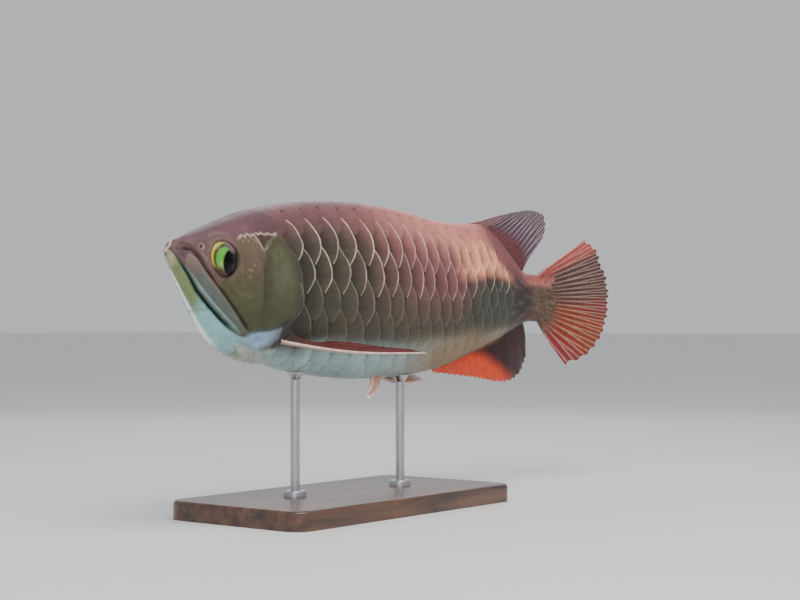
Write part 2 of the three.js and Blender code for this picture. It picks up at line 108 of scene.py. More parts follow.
bpy.ops.mesh.primitive_plane_add(size=60, location=(0, 0, 0))
floor = bpy.context.object
floor.name = "floor"
paper, shader = new_finish("pale_paper", Roughness=0.85)
where = add_node(paper, "TexCoord").outputs["Object"]
grain = noise(paper, where, scale=3.0, detail=4.0)
plug(paper, two_tone(paper, grain, (226, 225, 223), (234, 233, 231)), shader, "Base Color")
floor.data.materials.append(paper)

surroundings = bpy.data.worlds.new("studio")
bpy.context.scene.world = surroundings
surroundings.use_nodes = True
surroundings.node_tree.nodes["Background"].inputs["Color"].default_value = rgba(222, 224, 228)
surroundings.node_tree.nodes["Background"].inputs["Strength"].default_value = 0.8


def add_lamp(name, position, aim, size, power, colour):
    bpy.ops.object.light_add(type="AREA", location=position)
    lamp = bpy.context.object
    lamp.name = name
    lamp.data.size = size
    lamp.data.energy = power
    lamp.data.color = colour
    lamp.rotation_euler = (Vector(aim) - Vector(position)).to_track_quat("-Z", "Y").to_euler()


add_lamp("lamp_over", position=(-0.25, -0.55, 1.25), aim=(0.0, 0.0, 0.15), size=0.8, power=15.0,
         colour=(1.0, 0.97, 0.96))
add_lamp("lamp_front", position=(-1.3, -0.9, 0.5), aim=(-0.1, 0.0, 0.15), size=0.9, power=3.5,
         colour=(0.97, 0.99, 1.0))
add_lamp("lamp_behind", position=(0.9, 0.7, 0.9), aim=(0.0, 0.0, 0.17), size=0.9, power=3.5,
         colour=(1.0, 0.95, 0.97))


# Skin. One closed hide covers the head, the jaws, the gill covers, the trunk and the tail stalk,
# cast with the bones of the head showing through it. On the trunk it lies under the scales.
# Lengths are in millimetres on the straight fish: s from the upper lip, then side, then height.
BACK_LINE = [(-4, 27), (0, 31), (10, 34), (26, 39), (55, 48), (85, 56.5), (121, 64), (160, 69),
             (200, 70.7), (235, 69.6), (270, 65.8), (300, 61.5), (330, 60.5), (350, 61.5), (364, 60),
             (380, 52.5), (400, 40), (430, 24), (450, 21.5), (490, 21.5)]
BELLY_LINE = [(-4, 20), (0, 14), (11, 2), (26, -15), (36, -26), (54, -39), (81, -48), (109, -53),
              (127, -57), (160, -62), (215, -66), (250, -65.5), (302, -60), (340, -50), (385, -37),
              (430, -23.5), (450, -21), (490, -21.5)]
HALF_WIDTH = [(-4, 1.6), (0, 4), (10, 7.5), (26, 12.5), (44, 17), (70, 23), (100, 27), (121, 28.5),
              (160, 31), (200, 31.5), (245, 30), (290, 26), (340, 19.5), (390, 13.5), (430, 8.5),
              (470, 4.5), (490, 2.6)]
UPPER_POWER = [(-4, 1), (10, 0.8), (30, 0.62), (100, 0.62), (150, 0.75), (300, 0.85), (430, 1), (490, 1)]
LOWER_POWER = [(-4, 1.2), (40, 1), (100, 0.95), (140, 1), (250, 1.12), (400, 1.1), (450, 1), (490, 1)]
HEIGHT_POWER = 0.95
NOSE_HEADING = 8.5
SPINE_BENDS = [(145, 70, -14), (345, 90, 6), (405, 60, 10), (480, 36, -27)]
AXIS_HEIGHT = 165.0
BALANCE_STATION = 205.0
COAT_DEPTH = 2.0


def smooth_line(points):
    """A smooth curve through points that doesn't swing past them."""
    x, y = np.array(points, float).T
    slope = np.diff(y) / np.diff(x)
    tangent = np.zeros(len(x))
    tangent[0], tangent[-1] = slope[0], slope[-1]
    product = slope[:-1] * slope[1:]
    total = np.where(slope[:-1] + slope[1:] == 0, 1, slope[:-1] + slope[1:])
    tangent[1:-1] = np.where(product > 0, 2 * product / total, 0)

    def value(at):
        at = np.asarray(at, float)
        i = np.clip(np.searchsorted(x, at, "right") - 1, 0, len(x) - 2)
        step = x[i + 1] - x[i]
        k = np.clip((at - x[i]) / step, 0, 1)
        start = y[i] * (1 + 2 * k) * (1 - k) ** 2 + tangent[i] * step * k * (1 - k) ** 2
        return start + y[i + 1] * k * k * (3 - 2 * k) + tangent[i + 1] * step * k * k * (k - 1)

    return value


back_at, belly_at, width_at = map(smooth_line, (BACK_LINE, BELLY_LINE, HALF_WIDTH))
upper_power_at, lower_power_at = smooth_line(UPPER_POWER), smooth_line(LOWER_POWER)


def rise(value, start, end):
    """A smooth step from 0 at start to 1 at end, which may lie before start."""
    k = np.clip((np.asarray(value, float) - start) / (end - start), 0, 1)
    return k * k * (3 - 2 * k)


def spine_heading(s):
    """Where the spine heads at s. Each bend has its middle, its length and its degrees."""
    turned = NOSE_HEADING + sum(turn * rise(s, middle - length / 2, middle + length / 2)
                                for middle, length, turn in SPINE_BENDS)
    return np.radians(turned)


SPINE_AT = np.arange(-40.0, 601.0)
spine_step = spine_heading(SPINE_AT[:-1] + 0.5)
spine_x = np.concatenate([[0], np.cumsum(np.cos(spine_step))])
spine_y = np.concatenate([[0], np.cumsum(np.sin(spine_step))])
spine_x -= np.interp(BALANCE_STATION, SPINE_AT, spine_x)
spine_y -= np.interp(BALANCE_STATION, SPINE_AT, spine_y)


def place(points):
    """Puts points of the straight fish on its bent spine, over the base, in metres."""
    points = np.asarray(points, float)
    s, side, height = points[..., 0], points[..., 1], points[..., 2]
    heading = spine_heading(s)
    x = np.interp(s, SPINE_AT, spine_x) + side * np.sin(heading)
    y = np.interp(s, SPINE_AT, spine_y) - side * np.cos(heading)
    return np.stack([x, y, height + AXIS_HEIGHT], -1) / 1000


def section(s, angle, grow):
    """Side and height of the body's outline at s, with angle from pi/2 on the back to -pi/2 below."""
    back, belly = back_at(s) + grow, belly_at(s) - grow
    middle = (back + belly) / 2
    up, out = np.sin(angle), np.abs(np.cos(angle))
    power = np.where(up > 0, upper_power_at(s), lower_power_at(s))
    side = (width_at(s) + grow) * out ** power
    return side, middle + np.sign(up) * np.abs(up) ** HEIGHT_POWER * (back - middle)


# Angles of the section at equal steps of its girth, from the middle of the back to the belly.
TABLE_AT = np.arange(-4.0, 491.0)
GIRTH_STEPS = 128
dense = np.pi / 2 * np.sin(np.pi / 2 * np.linspace(1, -1, 801))
table_side, table_height = section(TABLE_AT[:, None], dense[None, :], 0.0)
pieces_of_girth = np.hypot(np.diff(table_side, axis=1), np.diff(table_height, axis=1))
girth = np.concatenate([np.zeros((len(TABLE_AT), 1)), np.cumsum(pieces_of_girth, 1)], 1)
equal_steps = np.linspace(0, 1, GIRTH_STEPS + 1)
angle_table = np.array([np.interp(equal_steps, row / row[-1], dense) for row in girth])


def down_of(turn):
    """Share of the girth from the middle of the back, 0, to the middle of the belly, 1."""
    return 1 - np.abs(2 * (turn % 1) - 1)


def body_point(s, turn, grow=0.0):
    """A point of the body. turn goes once round it: 0 on the back, 0.25 on the left, 0.5 below."""
    s, turn, grow = np.broadcast_arrays(np.asarray(s, float), turn, grow)
    row = np.clip(s - TABLE_AT[0], 0, len(TABLE_AT) - 1.001)
    column = np.clip(down_of(turn) * GIRTH_STEPS, 0, GIRTH_STEPS - 0.001)
    i, j = row.astype(int), column.astype(int)
    a, b = row - i, column - j
    top = angle_table[i, j] * (1 - b) + angle_table[i, j + 1] * b
    bottom = angle_table[i + 1, j] * (1 - b) + angle_table[i + 1, j + 1] * b
    side, height = section(s, top * (1 - a) + bottom * a, grow)
    return np.stack([s, np.where(turn % 1 > 0.5, -side, side), height], -1)


def blend_to(colour, mask, new):
    return colour + (srgb(new) - colour) * np.clip(mask, 0, 1)[..., None]


def dorsal_foot(s):
    """How far down the flank the fleshy foot of the dorsal fin reaches, as a share of the girth."""
    return np.interp(s, [328, 344, 356, 370, 382, 420], [0.09, 0.15, 0.215, 0.31, 0.36, 0.28])


FLANK_OLIVE, FLANK_ROSE = (76, 71, 60), (128, 82, 82)
DARK_LINE, SHOULDER_SHADOW = (70, 70, 62), (58, 54, 46)
BACK_MAUVE, BACK_SALMON_AND_HIGHLIGHT = (116, 76, 80), (204, 130, 118)
GOLD_PATCH = (255, 170, 132)
BELLY_SILVER, BELLY_TAN = (166, 192, 192), (138, 118, 90)
STALK_SHADE, STALK_STREAK, STALK_TOP_HIGHLIGHT = (50, 42, 40), (124, 108, 92), (160, 86, 84)
TAIL_FOOT_TAN, TAIL_FOOT_SPOT = (98, 80, 64), (160, 134, 106)
DORSAL_FOOT_MAROON = (114, 62, 66)


def body_colour(s, turn):
    """The markings that skin and scales share. The back goes from mauve to salmon, and the salmon is
    partly painted highlight from light above; the flank goes from olive to rose, with a gold patch
    before the fins, over a silver belly that turns tan behind. The shoulder behind the gill cover is
    darkened with painted shadow. The stalk is darkened with painted shade and streaked, with a
    painted highlight along its top; the tail's foot is spotted tan and the dorsal's foot is maroon."""
    down = down_of(turn)
    colour = np.broadcast_to(srgb(FLANK_OLIVE), (*np.shape(s), 3)).copy()
    colour = blend_to(colour, rise(s, 165, 290) * rise(down, 0.72, 0.36), FLANK_ROSE)
    colour = blend_to(colour, rise(s, 300, 350) * rise(down, 0.40, 0.50), DARK_LINE)
    # Painted shadow: the shoulder behind the gill cover, below the middle of the flank, is darkened.
    colour = blend_to(colour, rise(s, 155, 118) * rise(down, 0.26, 0.42), SHOULDER_SHADOW)
    colour = blend_to(colour, rise(down, 0.34, 0.12), BACK_MAUVE)
    # The back's salmon is partly its own colour and partly painted highlight from light above.
    colour = blend_to(colour, rise(down, 0.38, 0.14) * rise(s, 160, 290), BACK_SALMON_AND_HIGHLIGHT)
    gold = rise(s, 298, 330) * rise(s, 398, 380) * rise(down, 0.46, 0.38) * rise(down, 0.13, 0.25)
    colour = blend_to(colour, 0.85 * gold, GOLD_PATCH)
    silver_line = down - 0.07 * rise(s, 150, 116) - 0.1 * rise(s, 300, 350)
    colour = blend_to(colour, rise(silver_line, 0.72, 0.86), BELLY_SILVER)
    tan_line = down - 0.10 * rise(s, 315, 375)
    colour = blend_to(colour, rise(tan_line, 0.68, 0.84) * rise(s, 215, 300), BELLY_TAN)
    # Painted shade: the stalk's sides are darkened as if in shadow, with paler streaks for its scales.
    stalk = rise(s, 380, 410) * rise(down, 0.2, 0.38)
    colour = blend_to(colour, 0.9 * stalk, STALK_SHADE)
    streak = np.sin(down * 46 + 0.05 * s + 1.4 * np.sin(s / 13)) * np.sin(down * 19 - s / 21)
    colour = blend_to(colour, 0.45 * stalk * rise(streak, 0.1, 0.8), STALK_STREAK)
    tail_foot = rise(s, 424, 456) * rise(down, 0.20, 0.34)
    spots = np.sin(down * 62 + 0.4 * s) * np.sin(0.9 * s - down * 23)
    colour = blend_to(colour, 0.8 * tail_foot, TAIL_FOOT_TAN)
    colour = blend_to(colour, 0.5 * tail_foot * rise(spots, 0.1, 0.7), TAIL_FOOT_SPOT)
    # Painted highlight: the top of the stalk is lit rose, as under light from above.
    colour = blend_to(colour, 0.8 * rise(s, 404, 440) * rise(down, 0.26, 0.12), STALK_TOP_HIGHLIGHT)
    foot = rise(s, 340, 366) * rise(s, 440, 415) * rise(down - dorsal_foot(s), 0.03, -0.03)
    return blend_to(colour, 0.9 * foot, DORSAL_FOOT_MAROON)


def finished_mesh(name, points, faces, replaced, material, colours=None):
    """A piece from points in metres and their colours, which stands for the nodes that it replaces."""
    mesh = bpy.data.meshes.new(name)
    mesh.from_pydata(np.asarray(points).tolist(), [], faces)
    mesh.validate()
    mesh.update()
    mesh.shade_smooth()
    if colours is not None:
        layer = mesh.color_attributes.new("hide_colour", "FLOAT_COLOR", "POINT")
        flat = np.concatenate([colours, np.ones((len(colours), 1))], 1)
        layer.data.foreach_set("color", flat.astype(np.float32).ravel())
    mesh.materials.append(material)
    piece = bpy.data.objects.new(name, mesh)
    bpy.context.scene.collection.objects.link(piece)
    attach(piece, "root")
    if replaced:
        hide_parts(*replaced)
    return piece


def tube_faces(rings, around):
    """Numbers the points of a tube ring by ring, and gives the faces that join the rings."""
    corner = np.arange(rings * around).reshape(rings, around)
    beside = np.roll(corner, -1, 1)
    quads = np.stack([corner[:-1], beside[:-1], beside[1:], corner[1:]], -1)
    return corner, quads.reshape(-1, 4).tolist()


AROUND_SKIN = 340
HEAD_END = 132
ring_at = np.concatenate([np.arange(-4, 70, 0.75), np.arange(70, 130, 1.0), np.arange(130, 428, 3.8),
                          np.arange(430, 474.1, 1.4)])
grid_s, grid_turn = np.meshgrid(ring_at, np.arange(AROUND_SKIN) / AROUND_SKIN, indexing="ij")
bare = body_point(grid_s, grid_turn)
outward = np.cross(np.roll(bare, -1, 1) - np.roll(bare, 1, 1), np.gradient(bare, axis=0))
outward /= np.linalg.norm(outward, axis=-1, keepdims=True) + 1e-9
on_left_flank = outward[len(ring_at) // 2, AROUND_SKIN // 4, 1]
outward *= np.sign(on_left_flank)
head_rows = int(np.searchsorted(ring_at, HEAD_END))
flat_s, flat_z = bare[:head_rows, :, 0], bare[:head_rows, :, 2]
head_turn = grid_turn[:head_rows]
head_down = down_of(head_turn)
lift = np.zeros(flat_s.shape)
colour = body_colour(grid_s, grid_turn)
head_colour = colour[:head_rows]


def near(points):
    """Distance in side view to a line of (s, height) points, and how far along it, 0 to 1."""
    points = np.array(points, float)
    runs = np.hypot(*np.diff(points, axis=0).T)
    reached = np.concatenate([[0], np.cumsum(runs)])
    distance, along = np.full(flat_s.shape, 1e9), np.zeros(flat_s.shape)
    for (s0, z0), (s1, z1), run, start in zip(points[:-1], points[1:], runs, reached):
        k = np.clip(((flat_s - s0) * (s1 - s0) + (flat_z - z0) * (z1 - z0)) / run ** 2, 0, 1)
        d = np.hypot(flat_s - s0 - k * (s1 - s0), flat_z - z0 - k * (z1 - z0))
        nearer = d < distance
        distance = np.where(nearer, d, distance)
        along = np.where(nearer, (start + k * run) / reached[-1], along)
    return distance, along


def inside(points):
    """Distance in side view inside a closed outline, negative outside it."""
    distance, _ = near([*points, points[0]])
    crossed = np.zeros(flat_s.shape, bool)
    for (s0, z0), (s1, z1) in zip(points, [*points[1:], points[0]]):
        if z0 != z1:
            spans = (z0 > flat_z) != (z1 > flat_z)
            crossed ^= spans & (flat_s < (s1 - s0) * (flat_z - z0) / (z1 - z0) + s0)
    return np.where(crossed, distance, -distance)


def paint(mask, new):
    global head_colour
    head_colour = blend_to(head_colour, mask, new)


def stroke(points, width, height, new=None, strength=1.0, ends=0.12):
    """A groove or a ridge of a height along a line, with its own colour, that fades at both ends."""
    global lift
    distance, along = near(points)
    mask = np.exp(-((distance / width) ** 2)) * rise(along, 0, ends) * rise(along, 1, 1 - ends)
    lift = lift + height * mask
    if new is not None:
        paint(strength * np.sqrt(mask), new)


# The whole head's colours, from the mauve forehead down to the olive cheek.
BROW_MAUVE, SNOUT_MAUVE, TEMPLE_TAUPE = (112, 78, 82), (104, 80, 80), (98, 82, 72)
FOREHEAD_PLUM, NAPE_PLUM = (92, 62, 70), (84, 58, 66)
CHEEK_TAUPE, CHEEK_OLIVE, CHEEK_GREEN = (100, 84, 70), (78, 77, 54), (70, 74, 46)
head_side = rise(flat_s, 118, 106)
paint(head_side * rise(head_down, 0.5, 0.2), BROW_MAUVE)
paint(head_side * rise(head_down, 0.34, 0.46), TEMPLE_TAUPE)
paint(head_side * rise(flat_s, 60, 20) * rise(flat_z, 2, 22), SNOUT_MAUVE)
paint(0.8 * rise(flat_s, 98, 66) * rise(head_down, 0.20, 0.05), FOREHEAD_PLUM)
paint(0.7 * rise(flat_s, 118, 104) * rise(flat_s, 60, 84) * rise(head_down, 0.36, 0.22), NAPE_PLUM)
cheek = inside([(51, 35), (58.4, 37.2), (66.8, 37.8), (72.5, 35), (77.7, 27.4), (78, 10), (78, -16),
                (77, -29), (66, -29), (60.2, -22.8), (47.2, -10.5), (40.6, -3.8), (35, 3), (40, 7),
                (47, 8), (52.5, 13), (54, 20), (52.6, 28)])
paint(rise(cheek, -2.5, 2.0), CHEEK_TAUPE)
paint(rise(cheek, -2.5, 1.0) * rise(flat_z, 24, -4), CHEEK_OLIVE)
paint(rise(cheek, -2.5, 1.0) * rise(flat_z, -4, -24), CHEEK_GREEN)

# Lower jaw: olive in front, pale aqua behind the crease, with a white rim of bone below.
JAW_OLIVE, JAW_AQUA, JAW_BLUE = (120, 136, 94), (138, 192, 190), (146, 186, 204)
KEEL_WHITE, CHIN_OLIVE, LIP_TAN = (240, 248, 242), (146, 148, 118), (182, 170, 146)
KEEL_TURN = 0.508
SLIT = [(-3.4, 25.6), (0, 22.2), (4, 17.6), (11.1, 9.8), (19.8, -1.4), (30.7, -12), (41.8, -20.8),
        (51.8, -27.6), (60, -32)]
under_slit = inside([(-6, 27), *SLIT, (70, -34), (84, -41), (98, -46), (98, -80), (-20, -80)])
jaw = rise(under_slit, -0.4, 0.6)
paint(jaw, JAW_OLIVE)
paint(jaw * rise(flat_s, 19, 30), JAW_AQUA)
paint(jaw * rise(flat_s, 44, 66), JAW_BLUE)
keel = jaw * rise(np.abs(head_turn - KEEL_TURN), 0.018, 0.008) * rise(flat_s, 60, 42)
lift += 0.8 * keel
paint(keel, KEEL_WHITE)
paint(jaw * rise(head_down, 0.8, 0.9) * rise(flat_s, 58, 74), CHIN_OLIVE)
paint(0.7 * jaw * rise(flat_s, 3, -1), LIP_TAN)
lift += 0.8 * rise(under_slit, 1.2, 3.0) * rise(flat_s, 4, 16) * rise(flat_s, 70, 52)
lift -= 0.7 * np.exp(-(((head_down - 0.86) / 0.05) ** 2)) * rise(flat_s, 4, 16) * rise(flat_s, 70, 55)
stroke([(20, -12.5), (24, -13.8), (29.2, -13.7), (33, -12.4)], 0.9, -0.4, (104, 124, 104), 0.45, 0.25)

# Upper jaw: a long strap of bone from the snout to behind the eye, between two grooves.
STRAP_GREY, STRAP_TAN, STRAP_MAUVE = (92, 100, 92), (118, 106, 90), (120, 98, 92)
LIP_TEAL = (98, 116, 108)
STRAP_LOW = [(7.6, 16), (12, 11), (21, 1.3), (31.6, -8.7), (41.8, -16.9), (53.6, -25.4), (62, -31.2)]
STRAP_TOP = [(61.5, -24.6), (54, -17.2), (47.2, -10.5), (40.6, -3.8), (32.5, 4.1), (23.1, 14), (17.5, 20.6),
             (12, 23.4), (8, 21.6)]
strap = inside([*STRAP_LOW, (65.5, -32.4), (66, -29), *STRAP_TOP])
strap_body = rise(strap, -0.2, 1.0)
low_distance, _ = near(STRAP_LOW)
paint(0.85 * rise(inside([*STRAP_LOW, *reversed(SLIT[3:])]), -0.8, 0.6), LIP_TEAL)
lift += 1.5 * np.sqrt(np.clip(strap / 3.2, 0, 1))
paint(strap_body, STRAP_GREY)
paint(strap_body * rise(low_distance, 5.6, 7.6), STRAP_TAN)
paint(strap_body * rise(flat_s, 21, 10), STRAP_MAUVE)
# A painted highlight runs along the strap's lower edge, on its small ridge.
stroke(STRAP_LOW, 0.45, 0.4, (166, 194, 194), 0.6, 0.3)
stroke([(27, 1.5), (36, -7), (46, -15.6), (56, -23)], 0.9, -0.3, (92, 104, 98), 0.5, 0.3)
# The mouth's slit is darkened with painted shadow under the edge of the strap.
stroke(SLIT, 0.78, -3.4 * np.clip(width_at(flat_s) / 14, 0.25, 1), (22, 50, 44), 1.0, 0.24)
stroke([(4.5, 26), (8.5, 26.6), (13.8, 26.2), (18, 21.8), (23.1, 14), (32.5, 4.1), (40.6, -3.8),
        (47.2, -10.5), (60.2, -22.8), (66, -28)], 1.1, -1.5, (58, 44, 42), 0.95, 0.05)
stroke([(4, 30), (9, 30), (14, 27.8), (20, 20.6), (25.5, 12.6)], 0.9, -0.6, (76, 58, 58), 0.7)

# Snout: rounded upper lip, creases and the raised rims of the nostrils.
stroke([(1.5, 27.5), (5, 24), (8.5, 19.5)], 1.0, -0.8, (92, 70, 76), 0.8)
stroke([(16, 30.5), (20.7, 24.6), (26.4, 16.8), (33.7, 6.2), (38, 1)], 0.9, -0.7, (110, 84, 80), 0.7)
stroke([(18.3, 29), (23, 22.4), (28.6, 15), (35.5, 5.4)], 0.7, 0.5, (150, 124, 116), 0.5)
for nostril_s, nostril_z, nostril_size in ((21.6, 28.2, 1.6), (5.4, 30.4, 0.7)):
    from_nostril = np.hypot(flat_s - nostril_s, flat_z - nostril_z)
    ring = np.exp(-(((from_nostril - nostril_size) / 0.75) ** 2))
    lift += 1.1 * ring - 1.8 * np.exp(-((from_nostril / (0.6 * nostril_size)) ** 2))
    # Each nostril's rim is lightened on one side with painted highlight, and its opening is darkened with
    # painted shade.
    paint(0.3 * nostril_size ** 2 * ring * rise(flat_s - nostril_s, -1.6, 1.2), (206, 174, 166))
    paint(np.exp(-((from_nostril / (0.62 * nostril_size)) ** 2)), (30, 22, 24))

# Eye socket, with the thin rim of skin round the ball and the lid's fold over it.
EYE_AT = (40.8, 20.2)
from_eye = np.hypot(flat_s - EYE_AT[0], flat_z - EYE_AT[1])
lift -= 3.6 * rise(from_eye, 12.6, 10.6)
lift += 0.7 * np.exp(-(((from_eye - 13.4) / 1.4) ** 2))
paint(np.exp(-(((from_eye - 12.4) / 1.2) ** 2)), (82, 68, 58))
paint(0.3 * np.exp(-(((from_eye - 14.4) / 1.1) ** 2)), (120, 100, 84))
# Painted shade: the socket is darkened inside, round the ball.
paint(rise(from_eye, 11.8, 10.6), (52, 42, 36))
# The lid's fold above the eye is lightened with painted highlight.
stroke([(29, 33), (34, 36.6), (40, 37.8), (46, 36.8), (51, 33.4)], 1.3, 0.6, (128, 104, 106), 0.4, 0.3)

# Bones of the cheek: thin plates with crinkled upper edges, and the notch between them.
BEADS = [(57, 35.6), (61.6, 35.2), (66, 36), (71.4, 33.6), (80, 36.4), (84.6, 36.8), (76.8, 35.4),
         (78.6, 32.4), (74.6, 36.4), (82.4, 37.6), (88, 38.2), (63.4, 33.6), (69, 34.6), (77.9, 29.6),
         (81.2, 34), (59, 33.4)]
NOTCH_BROWN = (60, 50, 38)
# The pale crinkled upper edges of the plates are painted highlight on their raised rims.
stroke([(54, 34), (58.4, 37.6), (61, 36.6), (63.5, 38.6), (66.8, 37.4), (70, 38.4), (72.5, 35.4),
        (74.4, 32.4), (76, 29.6), (77.7, 27.4)], 0.5, 0.7, (206, 182, 160), 0.8, 0.1)
stroke([(77.7, 27.4), (80.5, 30.6), (82, 33.6), (85.5, 35.4), (88.5, 37.6), (93, 39.6)], 0.5, 0.7,
       (192, 176, 148), 0.7, 0.06)
stroke([(71, 40), (74.5, 38.6), (77, 40), (80, 38.6), (84, 39.8), (88, 38.8), (93.5, 41)], 0.5, 0.6,
       (214, 190, 176), 0.75, 0.1)
# The pale beads along the edges are painted highlight on their bumps.
for bead_s, bead_z in BEADS:
    from_bead = np.hypot(flat_s - bead_s, flat_z - bead_z)
    lift += 0.6 * np.exp(-((from_bead / 0.8) ** 2))
    paint(0.6 * np.exp(-((from_bead / 0.7) ** 2)), (186, 164, 140))
notch = rise(inside([(72, 38), (77.7, 27.5), (92, 39), (84, 38.4), (78, 39)]), -0.5, 1.2)
lift -= 0.9 * notch
paint(0.8 * notch, NOTCH_BROWN)
stroke([(47.5, 5), (50, 0), (56, -3), (64, -4), (72, -2)], 0.9, -0.35, (98, 92, 64), 0.6)
stroke([(77.8, 24), (78, 10), (78.4, -8), (78.6, -20), (78.4, -26.5)], 1.9, -0.8, (60, 60, 36), 0.7, 0.2)
stroke([(57, 35), (55, 24), (55, 12), (57, 2)], 1.0, -0.25, (106, 96, 72), 0.5)
for scar in ([(60, 14.5), (63, 13), (65.5, 13.6)], [(61, 9.5), (63.5, 9)], [(66, 17.5), (67.6, 16.5)]):
    stroke(scar, 0.5, 0.2, (158, 148, 112), 0.45, 0.3)

# Gill cover: one broad smooth plate with a thin soft edge, standing clear of the shoulder.
COVER_OLIVE, COVER_PALE, LOWER_COVER_BLUE = (70, 70, 48), (94, 94, 72), (146, 180, 204)
SHADOW_UNDER_COVER, PALE_SHOULDER, COVER_EDGE = (56, 54, 48), (162, 188, 188), (112, 112, 112)
MEMBRANE_AND_SHADE, MEMBRANE_EDGE = (66, 64, 54), (98, 92, 82)
COVER = [(77.7, 27.6), (84, 35), (93, 39.8), (98, 35.6), (101.8, 31.1), (108.4, 22.9), (112.4, 13.6),
         (113.6, 1.7), (111.4, -11.2), (104.6, -20.8), (95, -25.4), (84, -27.4), (77, -28), (78, -16),
         (78, 6)]
LOWER_COVER = [(66, -33), (72, -29.6), (80, -28.4), (90, -27.2), (98, -26), (97, -33), (90, -39),
               (80, -42), (70, -39)]
cover = inside(COVER)
lift += 1.3 * rise(cover, -0.3, 1.6)
paint(rise(cover, -0.3, 1.0), COVER_OLIVE)
paint(0.7 * rise(cover, 1.5, 10) * rise(flat_z, -20, 10), COVER_PALE)
stroke([(80, 20), (92, 22), (104, 18)], 5.0, 0.3)
lower_cover = inside(LOWER_COVER)
lift += 0.5 * rise(lower_cover, -0.6, 2.4)
# Painted shadow under the rear of the gill cover, on the skin behind its lower part.
shadow_under_cover = rise(flat_s, 88, 96) * rise(flat_z, -43, -36) * rise(cover, 0, -1.0) * rise(flat_z, -16, -24)
paint(shadow_under_cover, SHADOW_UNDER_COVER)
paint(0.9 * rise(flat_s, 84, 92) * rise(flat_z, -39.5, -43.5), PALE_SHOULDER)
paint(rise(lower_cover, -3.2, 2.6), LOWER_COVER_BLUE)
paint(0.9 * rise(lower_cover, -1.6, 1.5) * rise(flat_s, 82, 97), COVER_EDGE)
stroke([(72, -32), (77, -33.2), (82, -32.6)], 1.4, 0.2, (96, 122, 196), 0.6, 0.3)
stroke([(70, -30), (77, -28.2), (86, -27.6), (96, -25.4), (105, -21)], 0.8, -1.0, (70, 72, 60), 0.8, 0.1)

# Edge of the head: a soft membrane behind the cover, past which the skin sinks under the scales.
edge_of_head = np.interp(flat_z, [-70, -48, -36, -20, -11, 2, 13.6, 23, 31, 40, 50, 72],
                         [97, 100, 105, 110, 116.6, 119.4, 118.2, 113.6, 106, 97.5, 93, 89])
past_edge = flat_s - edge_of_head
membrane = rise(cover, -0.2, -1.6) * rise(flat_s, 84, 96) * rise(past_edge, 1.6, 0.2)
membrane = membrane * rise(flat_z, -27, -22)
# The membrane's brown is partly its own colour and partly painted shade behind the cover's edge.
paint(membrane * rise(flat_z, 37, 32), MEMBRANE_AND_SHADE)
paint(0.5 * membrane * rise(past_edge, -2.4, -0.8) * rise(flat_z, 34, 26), MEMBRANE_EDGE)
step_length = 1.8 + 6 * rise(flat_z, 40, 52)
behind_head = rise((past_edge + 0.4) / step_length, 0, 1)
lift = lift * (1 - behind_head) - COAT_DEPTH * behind_head

# Throat: the ribs of the gill membrane and the rough skin between the jaws.
RIB_COUNT = 5
for k in range(RIB_COUNT):
    rib = [(58 + 4 * k, -36.5 - 2.2 * k), (74 + 3 * k, -42 - 2.0 * k), (92 + 2 * k, -45.5 - 1.6 * k)]
    stroke(rib, 0.9, 0.7, (178, 190, 186), 0.5, 0.15)
throat = rise(head_down, 0.80, 0.92) * rise(flat_s, 40, 58) * rise(flat_s, 112, 100)
bumps = np.sin(flat_s * 1.9 + 3 * np.sin(head_turn * 90)) * np.sin(head_turn * 260 + flat_s)
lift += 0.8 * throat * bumps
paint(0.5 * throat * rise(bumps, 0.2, 0.9), (206, 204, 178))

# The trunk's skin lies under the coat of scales, except at the fleshy foot of the dorsal fin.
FOOT_HEIGHT = 1.5
colour[:head_rows] = head_colour
full_lift = np.full(grid_s.shape, -COAT_DEPTH)
full_lift[:head_rows] = lift
below_foot = down_of(grid_turn) - dorsal_foot(grid_s)
foot_length = rise(grid_s, 336, 356) * rise(grid_s, 446, 424)
full_lift += FOOT_HEIGHT * foot_length * rise(below_foot, 0.05, -0.02)
skin_points = bare + outward * full_lift[..., None]
corner, skin_faces = tube_faces(len(ring_at), AROUND_SKIN)
ends = [[-4.8, 0, 23.5], [475, 0, 0]]
front_centre, rear_centre = corner.size, corner.size + 1
skin_faces += [[front_centre, int(b), int(a)] for a, b in zip(corner[0], np.roll(corner[0], -1))]
skin_faces += [[rear_centre, int(a), int(b)] for a, b in zip(corner[-1], np.roll(corner[-1], -1))]
skin_points = np.concatenate([skin_points.reshape(-1, 3), ends])
skin_colours = np.concatenate([colour.reshape(-1, 3), [colour[0, 0], colour[-1, 0]]])


def remap(material, value, low, high, start=0.0, end=1.0):
    """Goes from low to high while a value goes from start to end."""
    inputs = {"Value": value, "From Min": start, "From Max": end, "To Min": low, "To Max": high}
    return add_node(material, "MapRange", inputs).outputs["Result"]


def calc(material, operation, *values):
    return add_node(material, "Math", dict(enumerate(values)), operation=operation).outputs["Value"]


def shaded(material, colour, strength):
    made = add_node(material, "VectorMath", {0: colour, "Scale": strength}, operation="SCALE")
    return made.outputs["Vector"]


def bump(material, height, strength, distance, over=None):
    inputs = {"Height": height, "Strength": strength, "Distance": distance}
    if over is not None:
        inputs["Normal"] = over
    return add_node(material, "Bump", inputs).outputs["Normal"]


